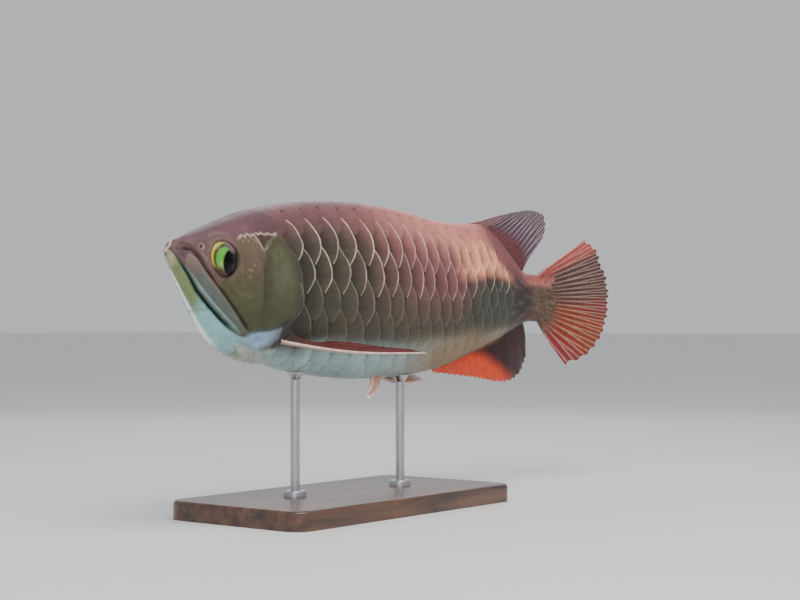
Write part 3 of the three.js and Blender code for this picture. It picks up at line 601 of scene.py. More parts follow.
hide, shader = new_finish("wet_hide", Roughness=0.45, Specular_IOR_Level=0.2, Coat_Weight=0.08,
                          Coat_Roughness=0.2)
marks = add_node(hide, "VertexColor", layer_name="hide_colour").outputs["Color"]
where = add_node(hide, "TexCoord").outputs["Object"]
mottle = noise(hide, where, scale=130.0, detail=6.0, roughness=0.65)
speckle = noise(hide, where, scale=900.0, detail=3.0)
cloudy = remap(hide, mottle, 0.80, 1.16, start=0.3, end=0.7)
grainy = remap(hide, speckle, 0.93, 1.07, start=0.35, end=0.65)
toned = shaded(hide, marks, calc(hide, "MULTIPLY", cloudy, grainy))
plug(hide, toned, shader, "Base Color")
plug(hide, remap(hide, mottle, 0.36, 0.56, start=0.3, end=0.7), shader, "Roughness")
pores = bump(hide, speckle, strength=0.35, distance=0.0004)
plug(hide, bump(hide, mottle, strength=0.5, distance=0.0012, over=pores), shader, "Normal")

skin = finished_mesh(
    "skin", place(skin_points), skin_faces,
    ["head", "lower_jaw", "maxilla_left", "maxilla_right", "gill_cover_left", "gill_cover_right",
     "trunk_front", "trunk_middle", "trunk_rear", "tail_stalk"],
    hide, skin_colours)


# Scales. Large thin shields of bone in fourteen rows, each sunk at its front in the skin and free
# at its round rear edge, which has a thick pale rim, pale partly by its own colour and partly by
# painted highlight. Every row is half a scale out of step with the next. Row 0 is the middle of the
# back and row 7 the middle of the belly.
ROWS, BELLY_ROW = 14, 7
PITCH = smooth_line([(60, 25), (110, 24), (150, 21), (190, 18.2), (230, 15.6), (300, 14.4), (380, 13),
                     (440, 11.4), (500, 9.5)])
ROWS_START, ROWS_END = 73.0, 492.0
rng = np.random.default_rng(7)
half_steps = [ROWS_START]
while half_steps[-1] < ROWS_END:
    half_steps.append(half_steps[-1] + float(PITCH(half_steps[-1])) / 2)

# Rows 0 to 7: the first and the last free edge, how far the scales stand up, and how pale the rim is,
# partly its own colour and partly painted highlight.
FIRST_EDGE = [95, 98, 112, 116, 118, 117, 112, 108]
LAST_EDGE = [342, 354, 373, 484, 484, 484, 484, 302]
RELIEF = [0.14, 0.35, 1.3, 1.35, 1.2, 0.95, 0.5, 0.35]
RIM_LIGHT = [0.02, 0.1, 1.0, 0.8, 0.46, 0.36, 0.26, 0.2]

# On the stalk every second row ends, and the others' scales are wider. All rows end in the tail's root.
STALK_START, TAIL_ROOT = 404, 440
HALF_WIDTH_FLANK, HALF_WIDTH_BELLY, HALF_WIDTH_STALK = 0.80, 0.90, 1.3

# How much scales differ from each other: place round the body, edge, crinkle, tilt, tone and rim.
TURN_SPREAD, EDGE_SPREAD, CRINKLE_SPREAD, TILT_SPREAD = 0.0012, 0.4, 0.035, 0.10
TONE_RANGE, RIM_RANGE = (0.92, 1.09), (0.7, 1.05)

# One scale, in shares of the pitch, and its thickness in millimetres.
SCALE_LENGTH = 1.8
FRONT_CURVE = 0.35
LOWER_SWEEP, UPPER_SWEEP = 0.44, 0.56
SWEEP_POWER = 1.9
TIP_SHIFT = 0.15
SCALE_THICKNESS = 0.4
UNDERSIDE_SHADE = 0.7
ACROSS = np.linspace(-1, 1, 11)
ALONG = np.array([0.0, 0.4, 0.68, 0.86, 0.95, 1.0])


def closed_sheet(shape):
    """Faces of a thin solid: a grid of points, the same grid under it, and the rim between them.
    Also gives the faces on top, and the numbers of the points round the rim."""
    grid = np.arange(shape[0] * shape[1]).reshape(shape)
    top = np.stack([grid[:-1, :-1], grid[1:, :-1], grid[1:, 1:], grid[:-1, 1:]], -1).reshape(-1, 4)
    rim = np.concatenate([grid[:, 0], grid[-1, 1:], grid[-2::-1, -1], grid[0, -2:0:-1]])
    beside = np.roll(rim, -1)
    sides = np.stack([beside, rim, rim + grid.size, beside + grid.size], -1)
    return np.concatenate([top, top[:, ::-1] + grid.size, sides]), top, rim


across, along = np.meshgrid(ACROSS, ALONG, indexing="ij")
one_scale, top_faces, rim_loop = closed_sheet(across.shape)
one_map = np.stack([(across + 1) / 2, along], -1).reshape(-1, 2)
one_map = np.concatenate([one_map, one_map * [1, 0.5]])

# Each scale has a cell of its own on the baking map: the top sheet low in it, the under sheet above
# that, and the faces of the rim in a strip beside them.
cell_across = 0.05 + 0.375 * (across + 1)
top_cell = np.stack([cell_across, 0.03 + 0.60 * along], -1).reshape(-1, 2)
under_cell = np.stack([cell_across, 0.68 + 0.28 * along], -1).reshape(-1, 2)
strip = 0.03 + 0.93 * (np.arange(len(rim_loop))[:, None] + [1, 0, 0, 1]) / len(rim_loop)
strip_cell = np.stack([np.broadcast_to([0.86, 0.86, 0.96, 0.96], strip.shape), strip], -1)
one_cell = np.concatenate([top_cell[top_faces], under_cell[top_faces[:, ::-1]], strip_cell]).reshape(-1, 2)
most_in_row = len(half_steps) // 2 + 2


def add_map(piece, name, values):
    """Gives a piece a UV map, from one value for each face corner or for each point of its mesh."""
    mesh = piece.data
    if len(values) != len(mesh.loops):
        corners = np.zeros(len(mesh.loops), np.int32)
        mesh.loops.foreach_get("vertex_index", corners)
        values = values[corners]
    layer = mesh.uv_layers.new(name=name)
    layer.data.foreach_set("uv", values.astype(np.float32).ravel())


def scale_coat(name, rows):
    """The joined scales of some rows, each with its own random tilt, edge and tone."""
    points, faces, colours, cells, rims = [], [], [], [], []
    for line, row in enumerate(rows):
        from_top = min(row, ROWS - row)
        column = 0
        for step, rear in enumerate(half_steps):
            on_stalk = rear > STALK_START
            beat = row // 2 if on_stalk else row
            no_scale = (step + beat) % 2 or (on_stalk and row % 2)
            if no_scale or rear < FIRST_EDGE[from_top] or LAST_EDGE[from_top] < rear <= TAIL_ROOT:
                continue

            pitch = float(PITCH(rear))
            turn = row / ROWS + rng.normal(0, TURN_SPREAD)
            skew = (across if row < BELLY_ROW else -across) - TIP_SHIFT
            blunt = np.where(skew > 0, skew / (1 - TIP_SHIFT), skew / (1 + TIP_SHIFT))
            sweep = np.where(blunt > 0, LOWER_SWEEP, UPPER_SWEEP) * np.abs(blunt) ** SWEEP_POWER
            edge = rear - pitch * sweep + rng.normal(0, EDGE_SPREAD)
            crinkle = rng.normal(0, CRINKLE_SPREAD, len(ACROSS) + 2)
            edge = edge + pitch * np.convolve(crinkle, [0.25, 0.5, 0.25], "valid")[:, None]
            front = rear - SCALE_LENGTH * pitch + FRONT_CURVE * pitch * across ** 2
            s = front + (edge - front) * along
            half_width = HALF_WIDTH_BELLY if abs(row - BELLY_ROW) < 2 else HALF_WIDTH_FLANK
            half_width = HALF_WIDTH_STALK if on_stalk else half_width
            t = turn + across * (half_width / ROWS * (0.80 + 0.20 * rise(along, 0, 0.5)))

            tilt = rng.normal(0, TILT_SPREAD)
            relief = RELIEF[from_top] * (0.8 + 0.2 * float(rise(rear, 260, 150)))
            fade = rise(rear, 485, 440) * 0.5 + 0.5
            dome = 0.3 * across ** 2 * (1 - 0.4 * along)
            height = (-COAT_DEPTH * (1 - along) - dome + tilt * across) * relief
            height = (height + 0.14 * rise(along, 0.9, 0.98) * relief - 0.15 - 0.5 * (1 - relief)) * fade
            thickness = (SCALE_THICKNESS * (0.4 + 0.6 * relief) + 0.5 * (1 - along)) * fade
            top = body_point(s, t, height)
            low = body_point(s, t, height - thickness)
            faces.append(one_scale + len(points) * 2 * across.size)
            points.append(np.concatenate([top.reshape(-1, 3), low.reshape(-1, 3)]))

            tone = body_colour(s, t).reshape(-1, 3) * rng.uniform(*TONE_RANGE)
            colours.append(np.concatenate([tone, tone * UNDERSIDE_SHADE]))
            cells.append((one_cell + [column, line]) / [most_in_row, len(rows)])
            column += 1
            bright = RIM_LIGHT[from_top] + 0.5 * float(rise(rear, 300, 340)) * (from_top in (2, 3))
            bright = min(bright, 1.0) * (1 - 0.85 * float(rise(rear, 390, 402))) * rng.uniform(*RIM_RANGE)
            rims.append(np.repeat([bright, 0.3 * bright], across.size))

    coat = finished_mesh(name, place(np.concatenate(points)), np.concatenate(faces).tolist(),
                         [], shield, np.concatenate(colours))
    add_map(coat, "ScaleMap", np.tile(one_map, (len(points), 1)))
    add_map(coat, "OFBake", np.concatenate(cells))
    rim_layer = coat.data.attributes.new("rim_light", "FLOAT", "POINT")
    rim_layer.data.foreach_set("value", np.concatenate(rims).astype(np.float32))


def stretched(material, where, scale):
    return add_node(material, "Mapping", {"Vector": where, "Scale": scale}).outputs["Vector"]


def mixed(material, share, first, last):
    inputs = {"Factor": share, "A": first, "B": last}
    return add_node(material, "Mix", inputs, data_type="RGBA").outputs["Result"]


shield, shader = new_finish("scale_bone", Roughness=0.45, Metallic=0.1, Specular_IOR_Level=0.2,
                            Coat_Weight=0.08, Coat_Roughness=0.2)
marks = add_node(shield, "VertexColor", layer_name="hide_colour").outputs["Color"]
shape = add_node(shield, "UVMap", uv_map="ScaleMap").outputs["UV"]
to_edge = add_node(shield, "SeparateXYZ", {"Vector": shape}).outputs["Y"]
where = add_node(shield, "TexCoord").outputs["Object"]
mottle = noise(shield, where, scale=150.0, detail=6.0, roughness=0.7)
rays = noise(shield, stretched(shield, shape, (24.0, 2.2, 1.0)), scale=1.0, detail=3.0)
rings = calc(shield, "SINE", calc(shield, "MULTIPLY", to_edge, 150.0))
cloudy = remap(shield, mottle, 0.82, 1.14, start=0.3, end=0.7)
streaky = remap(shield, rays, 0.9, 1.08, start=0.3, end=0.7)
toned = shaded(shield, marks, calc(shield, "MULTIPLY", cloudy, streaky))

# The rim is pale where the scale's rim light is strong, partly its own colour and partly painted
# highlight, and broken up in patches at random.
on_rim = remap(shield, to_edge, 0.0, 1.0, start=0.95, end=0.976)
patches = noise(shield, where, scale=75.0, detail=2.0)
rim_patches = remap(shield, patches, 0.4, 0.95, start=0.36, end=0.58)
rim_light = add_node(shield, "Attribute", attribute_name="rim_light").outputs["Fac"]
rim_share = calc(shield, "MULTIPLY", calc(shield, "MULTIPLY", on_rim, rim_light), rim_patches)
brightest = remap(shield, rim_light, 0.0, 1.0, start=0.35, end=0.8)
rim_tone = mixed(shield, brightest, rgba(158, 162, 146), rgba(250, 216, 202))
rimmed = mixed(shield, rim_share, toned, rim_tone)

# Painted shadow: the front of a scale is darkened in the gap under the one before it, and the part
# near the rim is lightened as painted light; both are weaker where the rim light is weak.
painted_front_shadow = remap(shield, to_edge, 0.42, 1.12, start=0.45, end=0.9)
gap_share = remap(shield, rim_light, 0.05, 1.0, start=0.1, end=0.6)
painted_front_shadow = add_node(shield, "Mix", {"Factor": gap_share, "A": 1.0, "B": painted_front_shadow}).outputs["Result"]
plug(shield, shaded(shield, rimmed, painted_front_shadow), shader, "Base Color")
plug(shield, remap(shield, mottle, 0.34, 0.54, start=0.3, end=0.7), shader, "Roughness")
lines = bump(shield, rings, strength=0.18, distance=0.0002)
ridges = bump(shield, rays, strength=0.35, distance=0.0008, over=lines)
pits = bump(shield, mottle, strength=0.35, distance=0.0008, over=ridges)
plug(shield, pits, shader, "Normal")

scale_coat("scales_back", [13, 0, 1])
scale_coat("scales_left", [2, 3, 4, 5, 6])
scale_coat("scales_right", [8, 9, 10, 11, 12])
scale_coat("scales_belly", [7])


# Eyes. Glossy balls in the sockets, each with a black pupil low in the ball, a green iris round
# it and a gold ring at the rim.
EYE_RADIUS, EYE_DEPTH = 13.2, 8.2
EYE_SIDE = 11.5
EYE_TURN = 13.5


def make_active(piece):
    bpy.ops.object.select_all(action="DESELECT")
    piece.select_set(True)
    bpy.context.view_layer.objects.active = piece


def turn_faces_out(piece):
    make_active(piece)
    bpy.ops.object.mode_set(mode="EDIT")
    bpy.ops.mesh.select_all(action="SELECT")
    bpy.ops.mesh.normals_make_consistent(inside=False)
    bpy.ops.object.mode_set(mode="OBJECT")


def eye_ball(name, node, side):
    """A ball flattened sideways and turned a little forward, on the left, 1, or the right, -1."""
    bpy.ops.mesh.primitive_uv_sphere_add(segments=96, ring_count=64, radius=1.0)
    ball = bpy.context.object
    mesh = ball.data
    local = np.array([v.co for v in mesh.vertices], float)
    turned = np.stack([local[:, 0], local[:, 2], local[:, 1]], 1)
    bulge = 1 + 0.05 * rise(turned[:, 1] * side, 0.8, 1.0)
    size = turned * np.array([EYE_RADIUS, EYE_DEPTH, EYE_RADIUS]) * bulge[:, None]
    angle = math.radians(EYE_TURN) * side
    s = size[:, 0] * math.cos(angle) - size[:, 1] * math.sin(angle)
    across_head = size[:, 0] * math.sin(angle) + size[:, 1] * math.cos(angle)
    points = np.stack([EYE_AT[0] + s, EYE_SIDE * side + across_head, EYE_AT[1] + size[:, 2]], 1)
    bpy.data.objects.remove(ball)
    faces = []
    for face in mesh.polygons:
        corners = list(face.vertices)
        lowest = corners.index(min(corners))
        faces.append(corners[lowest:] + corners[:lowest])
    faces.sort()
    piece = finished_mesh(name, place(points), faces, [node], cornea)
    turn_faces_out(piece)
    iris = np.stack([turned[:, 0] / 2 + 0.5, turned[:, 2] / 2 + 0.5], 1)
    add_map(piece, "IrisMap", np.where((turned[:, 1] * side > 0)[:, None], iris, 0.0))


cornea, shader = new_finish("eye_gloss", Roughness=0.12, Specular_IOR_Level=0.12, Coat_Weight=0.04,
                            Coat_Roughness=0.03)
shape = add_node(cornea, "UVMap", uv_map="IrisMap").outputs["UV"]
fibres = noise(cornea, shape, scale=26.0, detail=5.0)
wavy = remap(cornea, fibres, -0.03, 0.03)


def disc(centre, radius, soft):
    """1 inside a round patch of the iris map, 0 outside it, with a slightly ragged edge."""
    away = add_node(cornea, "VectorMath", {0: shape, 1: (*centre, 0.0)}, operation="DISTANCE")
    ragged = calc(cornea, "ADD", away.outputs["Value"], wavy)
    return remap(cornea, ragged, 0.0, 1.0, start=radius + soft, end=radius - soft)


# From the lowest layer to the highest: gold ring, dark line, green iris, pale glow in it, shade of
# the lower lid, pupil, and shade of the upper lid.
IRIS_LAYERS = [
    ((0.41, 0.57), 0.37, 0.02, (188, 176, 58)),
    ((0.48, 0.53), 0.375, 0.014, (78, 68, 44)),
    ((0.49, 0.50), 0.325, 0.02, (86, 170, 62)),
    ((0.38, 0.34), 0.12, 0.07, (160, 190, 112)),
    ((0.26, 0.10), 0.20, 0.06, (82, 66, 52)),
    ((0.675, 0.43), 0.335, 0.022, (6, 6, 6)),
    ((0.72, 0.94), 0.26, 0.05, (104, 86, 84)),
]
tones = rgba(84, 66, 52)
for centre, radius, soft, tone in IRIS_LAYERS:
    tones = mixed(cornea, disc(centre, radius, soft), tones, rgba(*tone))
plug(cornea, tones, shader, "Base Color")
plug(cornea, remap(cornea, fibres, 0.04, 0.12), shader, "Roughness")
plug(cornea, bump(cornea, fibres, strength=0.12, distance=0.0004), shader, "Normal")
eye_ball("eyeball_left", "eye_left", 1)
eye_ball("eyeball_right", "eye_right", -1)


# Fins. Each is a fan of bony rays that fork towards the edge, with thin skin between them that
# ends in a scalloped edge. The rays start inside the flesh.
COLUMNS_PER_GAP = 10
RAY_WIDTH = 0.105


def fan(name, replaced, rays, rows, root, tip, normal, thickness, colour_of,
        sag=0.0, bow=(0, 0, 0), scallop=2.2, wave=0.5):
    """A fin from its root to its tips: u goes from the first ray to the last, v out along a ray."""
    columns = COLUMNS_PER_GAP * (rays - 1) + 1
    u, v = np.meshgrid(np.linspace(0, 1, columns), np.linspace(0, 1, rows + 1), indexing="ij")
    phase = u * (rays - 1)
    fork = 0.25 * rise(v, 0.3, 1.0)
    ridge = np.zeros(u.shape)
    for branch in (phase - fork, phase + fork):
        ridge = np.maximum(ridge, np.exp(-((branch - np.round(branch)) / RAY_WIDTH) ** 2))
    leading = rise(phase, 0.45, 0.1)
    start, end = root(u), tip(u)
    length = np.linalg.norm(end - start, axis=-1)
    from_ray = np.abs(phase - np.round(phase))
    ragged = 0.6 + 0.8 * np.abs(np.sin(7.3 * np.round(phase) + 1.7)) * rise(from_ray, 0.5, 0.2)
    dip = 0.35 * (1 - ragged) + rise(from_ray, 0.05, 0.5)
    reach = v * (1 - scallop * ragged * dip / np.maximum(length, 10))
    points = start + (end - start) * reach[..., None]
    face = np.asarray(normal, float) / np.linalg.norm(normal)
    points = points + face * (sag * v * v)[..., None] + np.asarray(bow) * np.sin(np.pi * v)[..., None]
    points = points + face * (wave * v * np.sin(phase * 2.1 + 3 * v))[..., None]
    full = (thickness[0] + (thickness[1] - thickness[0]) * np.sqrt(v)) * (0.45 + 0.55 * ridge + 0.5 * leading)
    sheets = [points + face * (full / 2)[..., None], points - face * (full / 2)[..., None]]
    faces, _, _ = closed_sheet(u.shape)
    tone = colour_of(u, v, np.maximum(ridge ** 2.5, leading)).reshape(-1, 3)
    piece = finished_mesh(name, place(np.concatenate(sheets).reshape(-1, 3)), faces.tolist(),
                          replaced, web, np.concatenate([tone, tone]))
    turn_faces_out(piece)
    ray_map = np.stack([phase, v * length / 10], -1).reshape(-1, 2)
    add_map(piece, "RayMap", np.concatenate([ray_map, ray_map]))


web, shader = new_finish("fin_skin", Roughness=0.4, Specular_IOR_Level=0.25, Coat_Weight=0.12,
                         Coat_Roughness=0.15)
marks = add_node(web, "VertexColor", layer_name="hide_colour").outputs["Color"]
shape = add_node(web, "UVMap", uv_map="RayMap").outputs["UV"]
where = add_node(web, "TexCoord").outputs["Object"]
mottle = noise(web, where, scale=170.0, detail=6.0, roughness=0.65)
fibres = noise(web, stretched(web, shape, (14.0, 1.2, 1.0)), scale=1.0, detail=4.0)
along_ray = add_node(web, "SeparateXYZ", {"Vector": shape}).outputs["Y"]
joints = calc(web, "SINE", calc(web, "MULTIPLY", along_ray, 38.0))
cloudy = remap(web, mottle, 0.78, 1.18, start=0.3, end=0.7)
streaky = remap(web, fibres, 0.82, 1.14, start=0.3, end=0.7)
toned = shaded(web, marks, calc(web, "MULTIPLY", cloudy, streaky))
plug(web, toned, shader, "Base Color")
plug(web, remap(web, mottle, 0.32, 0.5, start=0.3, end=0.7), shader, "Roughness")
segments = bump(web, joints, strength=0.2, distance=0.0002)
plug(web, bump(web, fibres, strength=0.4, distance=0.0008, over=segments), shader, "Normal")


def spread(s, side, height):
    return np.stack(np.broadcast_arrays(s, side, height), -1).astype(float)


def flat_colour(u, tone):
    return np.broadcast_to(srgb(tone), (*u.shape, 3)).copy()


DORSAL_S = smooth_line([(0, 374), (0.25, 412), (0.5, 446), (0.7, 469), (0.82, 476), (0.92, 470), (1, 450)])
DORSAL_Z = smooth_line([(0, 67), (0.25, 74), (0.5, 77.5), (0.7, 76), (0.82, 67), (0.92, 55), (1, 41)])
ANAL_S = smooth_line([(0, 304), (0.3, 356), (0.6, 400), (0.75, 422), (0.9, 446), (1, 449)])
ANAL_Z = smooth_line([(0, -62.5), (0.3, -67.5), (0.6, -72.5), (0.75, -70), (0.9, -54), (1, -39)])
TAIL_S = smooth_line([(-1, 507), (-0.8, 532), (-0.6, 548), (-0.3, 557), (0, 559.5), (0.3, 558), (0.6, 550),
                      (0.8, 544), (1, 530)])
TAIL_Z = smooth_line([(-1, -59.5), (-0.8, -51), (-0.6, -37), (-0.3, -18), (0, 0), (0.3, 16), (0.6, 34),
                      (0.8, 46), (1, 55)])
DORSAL_RAYS, ANAL_RAYS, TAIL_RAYS = 17, 26, 20
DORSAL_ROOT, ANAL_ROOT = (346, 428), (296, 430)
TAIL_RAYS_START, TAIL_ROOT_HALF = 468, 18.5


def dorsal_colour(u, v, ridge):
    """Mauve-grey skin and pale rays, salmon in front, dark red at the foot."""
    tone = flat_colour(u, (84, 62, 78))
    tone = blend_to(tone, rise(u, 0.34, 0.05) * rise(v, 1.4, 0.3), (176, 120, 118))
    tone = blend_to(tone, ridge * rise(v, 0.1, 0.4), (200, 172, 180))
    tone = blend_to(tone, rise(v, 0.40, 0.18) * rise(u, 0.1, 0.4), (112, 58, 60))
    tone = blend_to(tone, 0.8 * rise(u, 0.4, 0.8) * rise(v, 0.5, 0.2), (98, 40, 42))
    return blend_to(tone, 0.8 * rise(u, 0.09, 0.01) * rise(v, 0, 0.15), (214, 164, 158))


def anal_colour(u, v, ridge):
    """Bright orange-red in front, dark brown behind, partly its own dark red and partly painted shade,
    and tan where the rear rays leave the stalk.
    """
    tone = flat_colour(u, (226, 68, 30))
    tone = blend_to(tone, 0.4 * ridge * rise(v, 0.1, 0.4), (242, 120, 64))
    # The rear of the fin is darkened, partly its own dark red and partly painted shade where it turns away.
    tone = blend_to(tone, rise(u + 0.34 * (1 - v), 0.60, 0.82), (50, 20, 22))
    tone = blend_to(tone, 0.4 * ridge * rise(u, 0.6, 0.8), (92, 38, 38))
    return blend_to(tone, rise(v, 0.16, 0.05) * rise(u, 0.8, 0.5), (140, 96, 70))


def tail_colour(u, v, ridge):
    """Brown skin and pale rays, red below and above, with a spotted tan foot and a painted highlight
    at the top of the root.
    """
    tone = flat_colour(u, (80, 56, 54))
    tone = blend_to(tone, rise(u, 0.45, 0.7), (136, 56, 34))
    tone = blend_to(tone, rise(u, 0.84, 0.97), (136, 40, 46))
    tone = blend_to(tone, rise(u, 0.42, 0.55) * rise(u, 0.7, 0.55) * rise(v, 0.5, 1), (120, 40, 48))
    tone = blend_to(tone, rise(u, 0.16, 0.05), (176, 78, 72))
    tone = blend_to(tone, (0.8 - 0.3 * v) * ridge * rise(v, 0.1, 0.35), (218, 184, 160))
    dots = np.sin(u * (TAIL_RAYS - 1) * 6.3) * np.sin(v * 70 + 9 * u)
    base = rise(v, 0.46, 0.14) * rise(u, 0.1, 0.26)
    tone = blend_to(tone, 0.85 * base, (98, 80, 64))
    tone = blend_to(tone, 0.6 * base * rise(dots, 0.1, 0.7), (168, 140, 110))
    # Painted highlight: the top of the fin's root is lit rose, like the top of the stalk.
    return blend_to(tone, rise(v, 0.4, 0.1) * rise(u, 0.2, 0.08), (190, 96, 92))


def paired_colour(u, v, ridge):
    """Dark red, with a pale pink first ray, darkened at the root with painted shade under the flank."""
    tone = flat_colour(u, (84, 32, 32))
    tone = blend_to(tone, 0.4 * ridge, (140, 70, 62))
    # Painted shade: the root of the fin is darkened under the flank.
    tone = blend_to(tone, rise(v, 0.3, 0.05), (62, 48, 42))
    return blend_to(tone, rise(u, 0.085, 0.05), (242, 200, 188))


def pelvic_colour(u, v, ridge):
    """Pale tan, with nearly white rays and tips."""
    tone = flat_colour(u, (198, 150, 122))
    tone = blend_to(tone, 0.6 * ridge, (232, 196, 172))
    tone = blend_to(tone, rise(u, 0.24, 0.08), (240, 206, 190))
    return blend_to(tone, rise(v, 0.8, 0.98), (244, 234, 226))


def on_back(u):
    s = DORSAL_ROOT[0] + (DORSAL_ROOT[1] - DORSAL_ROOT[0]) * u
    return spread(s, 0, back_at(s) - 1.2 - 2.8 * rise(u, 0, 0.2))


def on_keel(u):
    s = ANAL_ROOT[0] + (ANAL_ROOT[1] - ANAL_ROOT[0]) * u
    return spread(s, 0, belly_at(s) + 4)


fan("dorsal_rays", ["dorsal_fin"], DORSAL_RAYS, 24, on_back,
    lambda u: spread(DORSAL_S(u), 0, DORSAL_Z(u)), normal=(0, 1, 0), thickness=(3.6, 0.8),
    colour_of=dorsal_colour, sag=4.0)
fan("anal_rays", ["anal_fin"], ANAL_RAYS, 20, on_keel,
    lambda u: spread(ANAL_S(u), 0, ANAL_Z(u)), normal=(0, 1, 0), thickness=(3.6, 0.8),
    colour_of=anal_colour, sag=-3.0)
fan("tail_rays", ["caudal_fin"], TAIL_RAYS, 36,
    lambda u: spread(TAIL_RAYS_START, 0, (1 - 2 * u) * TAIL_ROOT_HALF),
    lambda u: spread(TAIL_S(1 - 2 * u), 0, TAIL_Z(1 - 2 * u)), normal=(0, 1, 0), thickness=(5.0, 0.9),
    colour_of=tail_colour, scallop=3.0, wave=0.7)


def paired_fan(name, node, root, tips, normal, bulge, rays, bow, colour_of):
    """A fan between two points of its root and two of its tips, whose edge bulges between them."""
    first, last = np.array(tips, float)
    front, back = np.array(root, float)

    def at_root(u):
        return front + (back - front) * u[..., None]

    def at_tip(u):
        point = first + (last - first) * u[..., None]
        away = point - front
        away /= np.linalg.norm(away, axis=-1, keepdims=True)
        return point + away * (bulge * np.sin(np.pi * u))[..., None]

    facing = (normal[0], -normal[1], normal[2])
    fan(name, [node], rays, 30, at_root, at_tip, normal=facing, thickness=(2.4, 0.8),
        colour_of=colour_of, bow=bow, scallop=2.0, wave=0.4)


paired_fan("pectoral_rays_left", "pectoral_fin_left", root=[(102, 20, -36), (112, 22, -30)],
           tips=[(212, 74, -44.7), (154, 28, -36)], normal=(0.1, -0.15, 1), bulge=18, rays=7,
           bow=(0, 0, -3.5), colour_of=paired_colour)
paired_fan("pectoral_rays_right", "pectoral_fin_right", root=[(102, -20, -36), (112, -22, -30)],
           tips=[(168, -104, -41.5), (158, -32, -36)], normal=(-0.1, 0.1, 1), bulge=14, rays=7,
           bow=(0, 0, -3.5), colour_of=paired_colour)
paired_fan("pelvic_rays_left", "pelvic_fin_left", root=[(227, 4, -59), (238, 5, -59)],
           tips=[(210, 14.5, -79), (216, 14, -76.5)], normal=(0.2, -0.8, -0.6), bulge=3, rays=6,
           bow=(0, 0, -3.5), colour_of=pelvic_colour)
paired_fan("pelvic_rays_right", "pelvic_fin_right", root=[(236, -7, -60), (244, -14, -53)],
           tips=[(303, -10, -68.5), (278, -22, -60)], normal=(0.1, -0.28, 1), bulge=5, rays=6,
           bow=(0, 0, -6), colour_of=pelvic_colour)


# Barbels. Two soft pale whiskers of skin that grow from the tip of the lower jaw.
WHISKER_RINGS, WHISKER_AROUND = 40, 16
WHISKER_FOOT, WHISKER_THINNING = 1.15, 0.65


def whisker(name, node, path):
    line = [smooth_line(list(zip(np.linspace(0, 1, len(path)), column))) for column in zip(*path)]
    k = np.linspace(0, 1, WHISKER_RINGS)
    centre = np.stack([axis(k) for axis in line], -1)
    forward = np.gradient(centre, axis=0)
    forward /= np.linalg.norm(forward, axis=1, keepdims=True)
    first = np.cross(forward, (0.3, 1.0, 0.2))
    first /= np.linalg.norm(first, axis=1, keepdims=True)
    second = np.cross(forward, first)
    radius = (WHISKER_FOOT - WHISKER_THINNING * k) * (1 + 0.04 * np.sin(60 * k)) * np.where(k > 0.98, 0.5, 1)
    turn = np.linspace(0, 2 * np.pi, WHISKER_AROUND, endpoint=False)
    ring = np.cos(turn)[None, :, None] * first[:, None] + np.sin(turn)[None, :, None] * second[:, None]
    points = centre[:, None] + ring * radius[:, None, None]
    corner, faces = tube_faces(WHISKER_RINGS, WHISKER_AROUND)
    faces += [corner[0].tolist(), corner[-1][::-1].tolist()]
    tone = blend_to(flat_colour(k, (214, 188, 176)), rise(k, 0.3, 0), (186, 150, 140))
    piece = finished_mesh(name, place(points.reshape(-1, 3)), faces, [node], hide,
                          np.repeat(tone, WHISKER_AROUND, axis=0))
    turn_faces_out(piece)


whisker("whisker_left", "barbel_left",
        [(-3.2, 0.8, 24.4), (-5.5, 1.6, 25), (-9, 3, 24.5), (-13, 5, 24.4), (-17.5, 8, 25)])
whisker("whisker_right", "barbel_right",
        [(-3.6, 0.4, 23.6), (-5.2, 1.6, 26), (-4.6, 3.6, 29), (-3.2, 3.9, 33.5), (-2.2, 3.4, 39.2)])


# Base. A block of dark stained wood with round corners and a softened top edge.
BASE_LENGTH, BASE_WIDTH, BASE_HEIGHT = 0.26, 0.13, 0.014
CORNER_RADIUS, TOP_SOFTNESS = 0.014, 0.0028
ROUND_ANGLE = 40


def fix_place(piece):
    make_active(piece)
    bpy.ops.object.transform_apply(location=True, rotation=True, scale=True)


def settle(piece, nodes, material):
    fix_place(piece)
    bpy.ops.object.shade_smooth_by_angle(angle=math.radians(ROUND_ANGLE))
    piece.data.materials.append(material)
    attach(piece, "root")
    if nodes:
        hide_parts(*nodes)


def bevel_edges(piece, chosen, width, segments):
    make_active(piece)
    bpy.ops.object.mode_set(mode="EDIT")
    bpy.ops.mesh.select_mode(type="EDGE")
    bpy.ops.mesh.select_all(action="DESELECT")
    bpy.ops.object.mode_set(mode="OBJECT")
    for edge in piece.data.edges:
        ends = [piece.data.vertices[i].co for i in edge.vertices]
        edge.select = chosen(*ends)
    bpy.ops.object.mode_set(mode="EDIT")
    bpy.ops.mesh.bevel(offset=width, segments=segments, affect="EDGES")
    bpy.ops.object.mode_set(mode="OBJECT")


def bevel_rim(piece, above, width, segments):
    """Rounds the edges that lie wholly above a height."""
    bevel_edges(piece, lambda a, b: min(a.z, b.z) > above, width, segments)


wood, shader = new_finish("stained_wood", Roughness=0.4, Coat_Weight=0.5, Coat_Roughness=0.2)
where = add_node(wood, "TexCoord").outputs["Object"]
bands = noise(wood, stretched(wood, where, (3.0, 34.0, 34.0)), scale=3.2, detail=8.0, distortion=0.6)
pores = noise(wood, stretched(wood, where, (60.0, 900.0, 900.0)), scale=1.0, detail=2.0)
plug(wood, two_tone(wood, bands, (46, 28, 20), (104, 68, 44), start=0.32, end=0.68), shader, "Base Color")
plug(wood, remap(wood, pores, 0.28, 0.55), shader, "Roughness")
plug(wood, bump(wood, pores, strength=0.25, distance=0.0004), shader, "Normal")

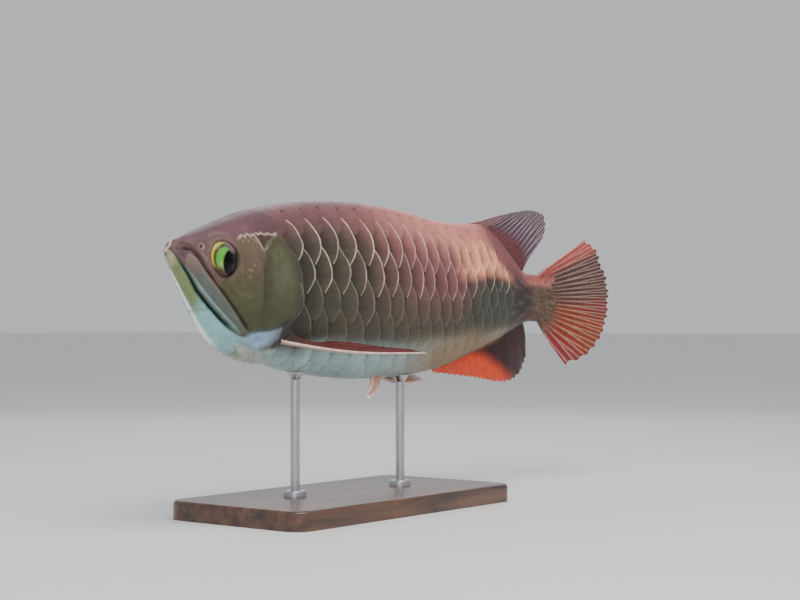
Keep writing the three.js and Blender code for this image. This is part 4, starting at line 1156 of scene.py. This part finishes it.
bpy.ops.mesh.primitive_cube_add(size=1, location=(0, 0, BASE_HEIGHT / 2),
                                scale=(BASE_LENGTH, BASE_WIDTH, BASE_HEIGHT))
block = bpy.context.object
block.name = "wood_base"
fix_place(block)
bevel_edges(block, lambda a, b: abs(a.z - b.z) > BASE_HEIGHT / 2, CORNER_RADIUS, 12)
bevel_rim(block, BASE_HEIGHT - 0.0001, TOP_SOFTNESS, 5)
settle(block, ["stand_base"], wood)

# Rods. Two brushed steel rods stand in the base, each in a turned collar, and end in a small
# saddle cup under the belly.
ROD_RADIUS, ROD_FOOT, ROD_IN_BELLY = 0.0035, 0.008, 0.004
COLLAR_RADIUS, COLLAR_HEIGHT, COLLAR_SOFTNESS = 0.0085, 0.005, 0.0014
CUP_RADIUS, CUP_HEIGHT, CUP_DROP, CUP_SOFTNESS = 0.0072, 0.006, 0.001, 0.0008
RIM_MARGIN = 0.0005
steel, shader = new_finish("brushed_steel", Metallic=1.0, Roughness=0.3)
where = add_node(steel, "TexCoord").outputs["Object"]
brush = noise(steel, stretched(steel, where, (40.0, 40.0, 2200.0)), scale=1.0, detail=3.0)
plug(steel, two_tone(steel, brush, (150, 152, 156), (206, 208, 212)), shader, "Base Color")
plug(steel, remap(steel, brush, 0.18, 0.42), shader, "Roughness")
plug(steel, bump(steel, brush, strength=0.15, distance=0.0002), shader, "Normal")

for rod_name, station in (("front", 148.0), ("rear", 262.0)):
    x, y, top = place([station, 0.0, float(belly_at(station))])
    bpy.ops.mesh.primitive_cylinder_add(
        vertices=48, radius=ROD_RADIUS, depth=top + ROD_IN_BELLY - ROD_FOOT,
        location=(x, y, (top + ROD_IN_BELLY + ROD_FOOT) / 2))
    rod = bpy.context.object
    rod.name = "steel_rod_" + rod_name
    settle(rod, ["stand_rod_" + rod_name], steel)
    bpy.ops.mesh.primitive_cylinder_add(
        vertices=64, radius=COLLAR_RADIUS, depth=COLLAR_HEIGHT,
        location=(x, y, BASE_HEIGHT + COLLAR_HEIGHT / 2))
    collar = bpy.context.object
    collar.name = "steel_collar_" + rod_name
    fix_place(collar)
    bevel_rim(collar, BASE_HEIGHT + COLLAR_HEIGHT - RIM_MARGIN, COLLAR_SOFTNESS, 4)
    settle(collar, [], steel)
    bpy.ops.mesh.primitive_cone_add(
        vertices=48, radius1=ROD_RADIUS, radius2=CUP_RADIUS, depth=CUP_HEIGHT,
        location=(x, y, top - CUP_DROP))
    cup = bpy.context.object
    cup.name = "steel_cup_" + rod_name
    fix_place(cup)
    bevel_rim(cup, top - CUP_DROP + CUP_HEIGHT / 2 - RIM_MARGIN, CUP_SOFTNESS, 3)
    settle(cup, [], steel)
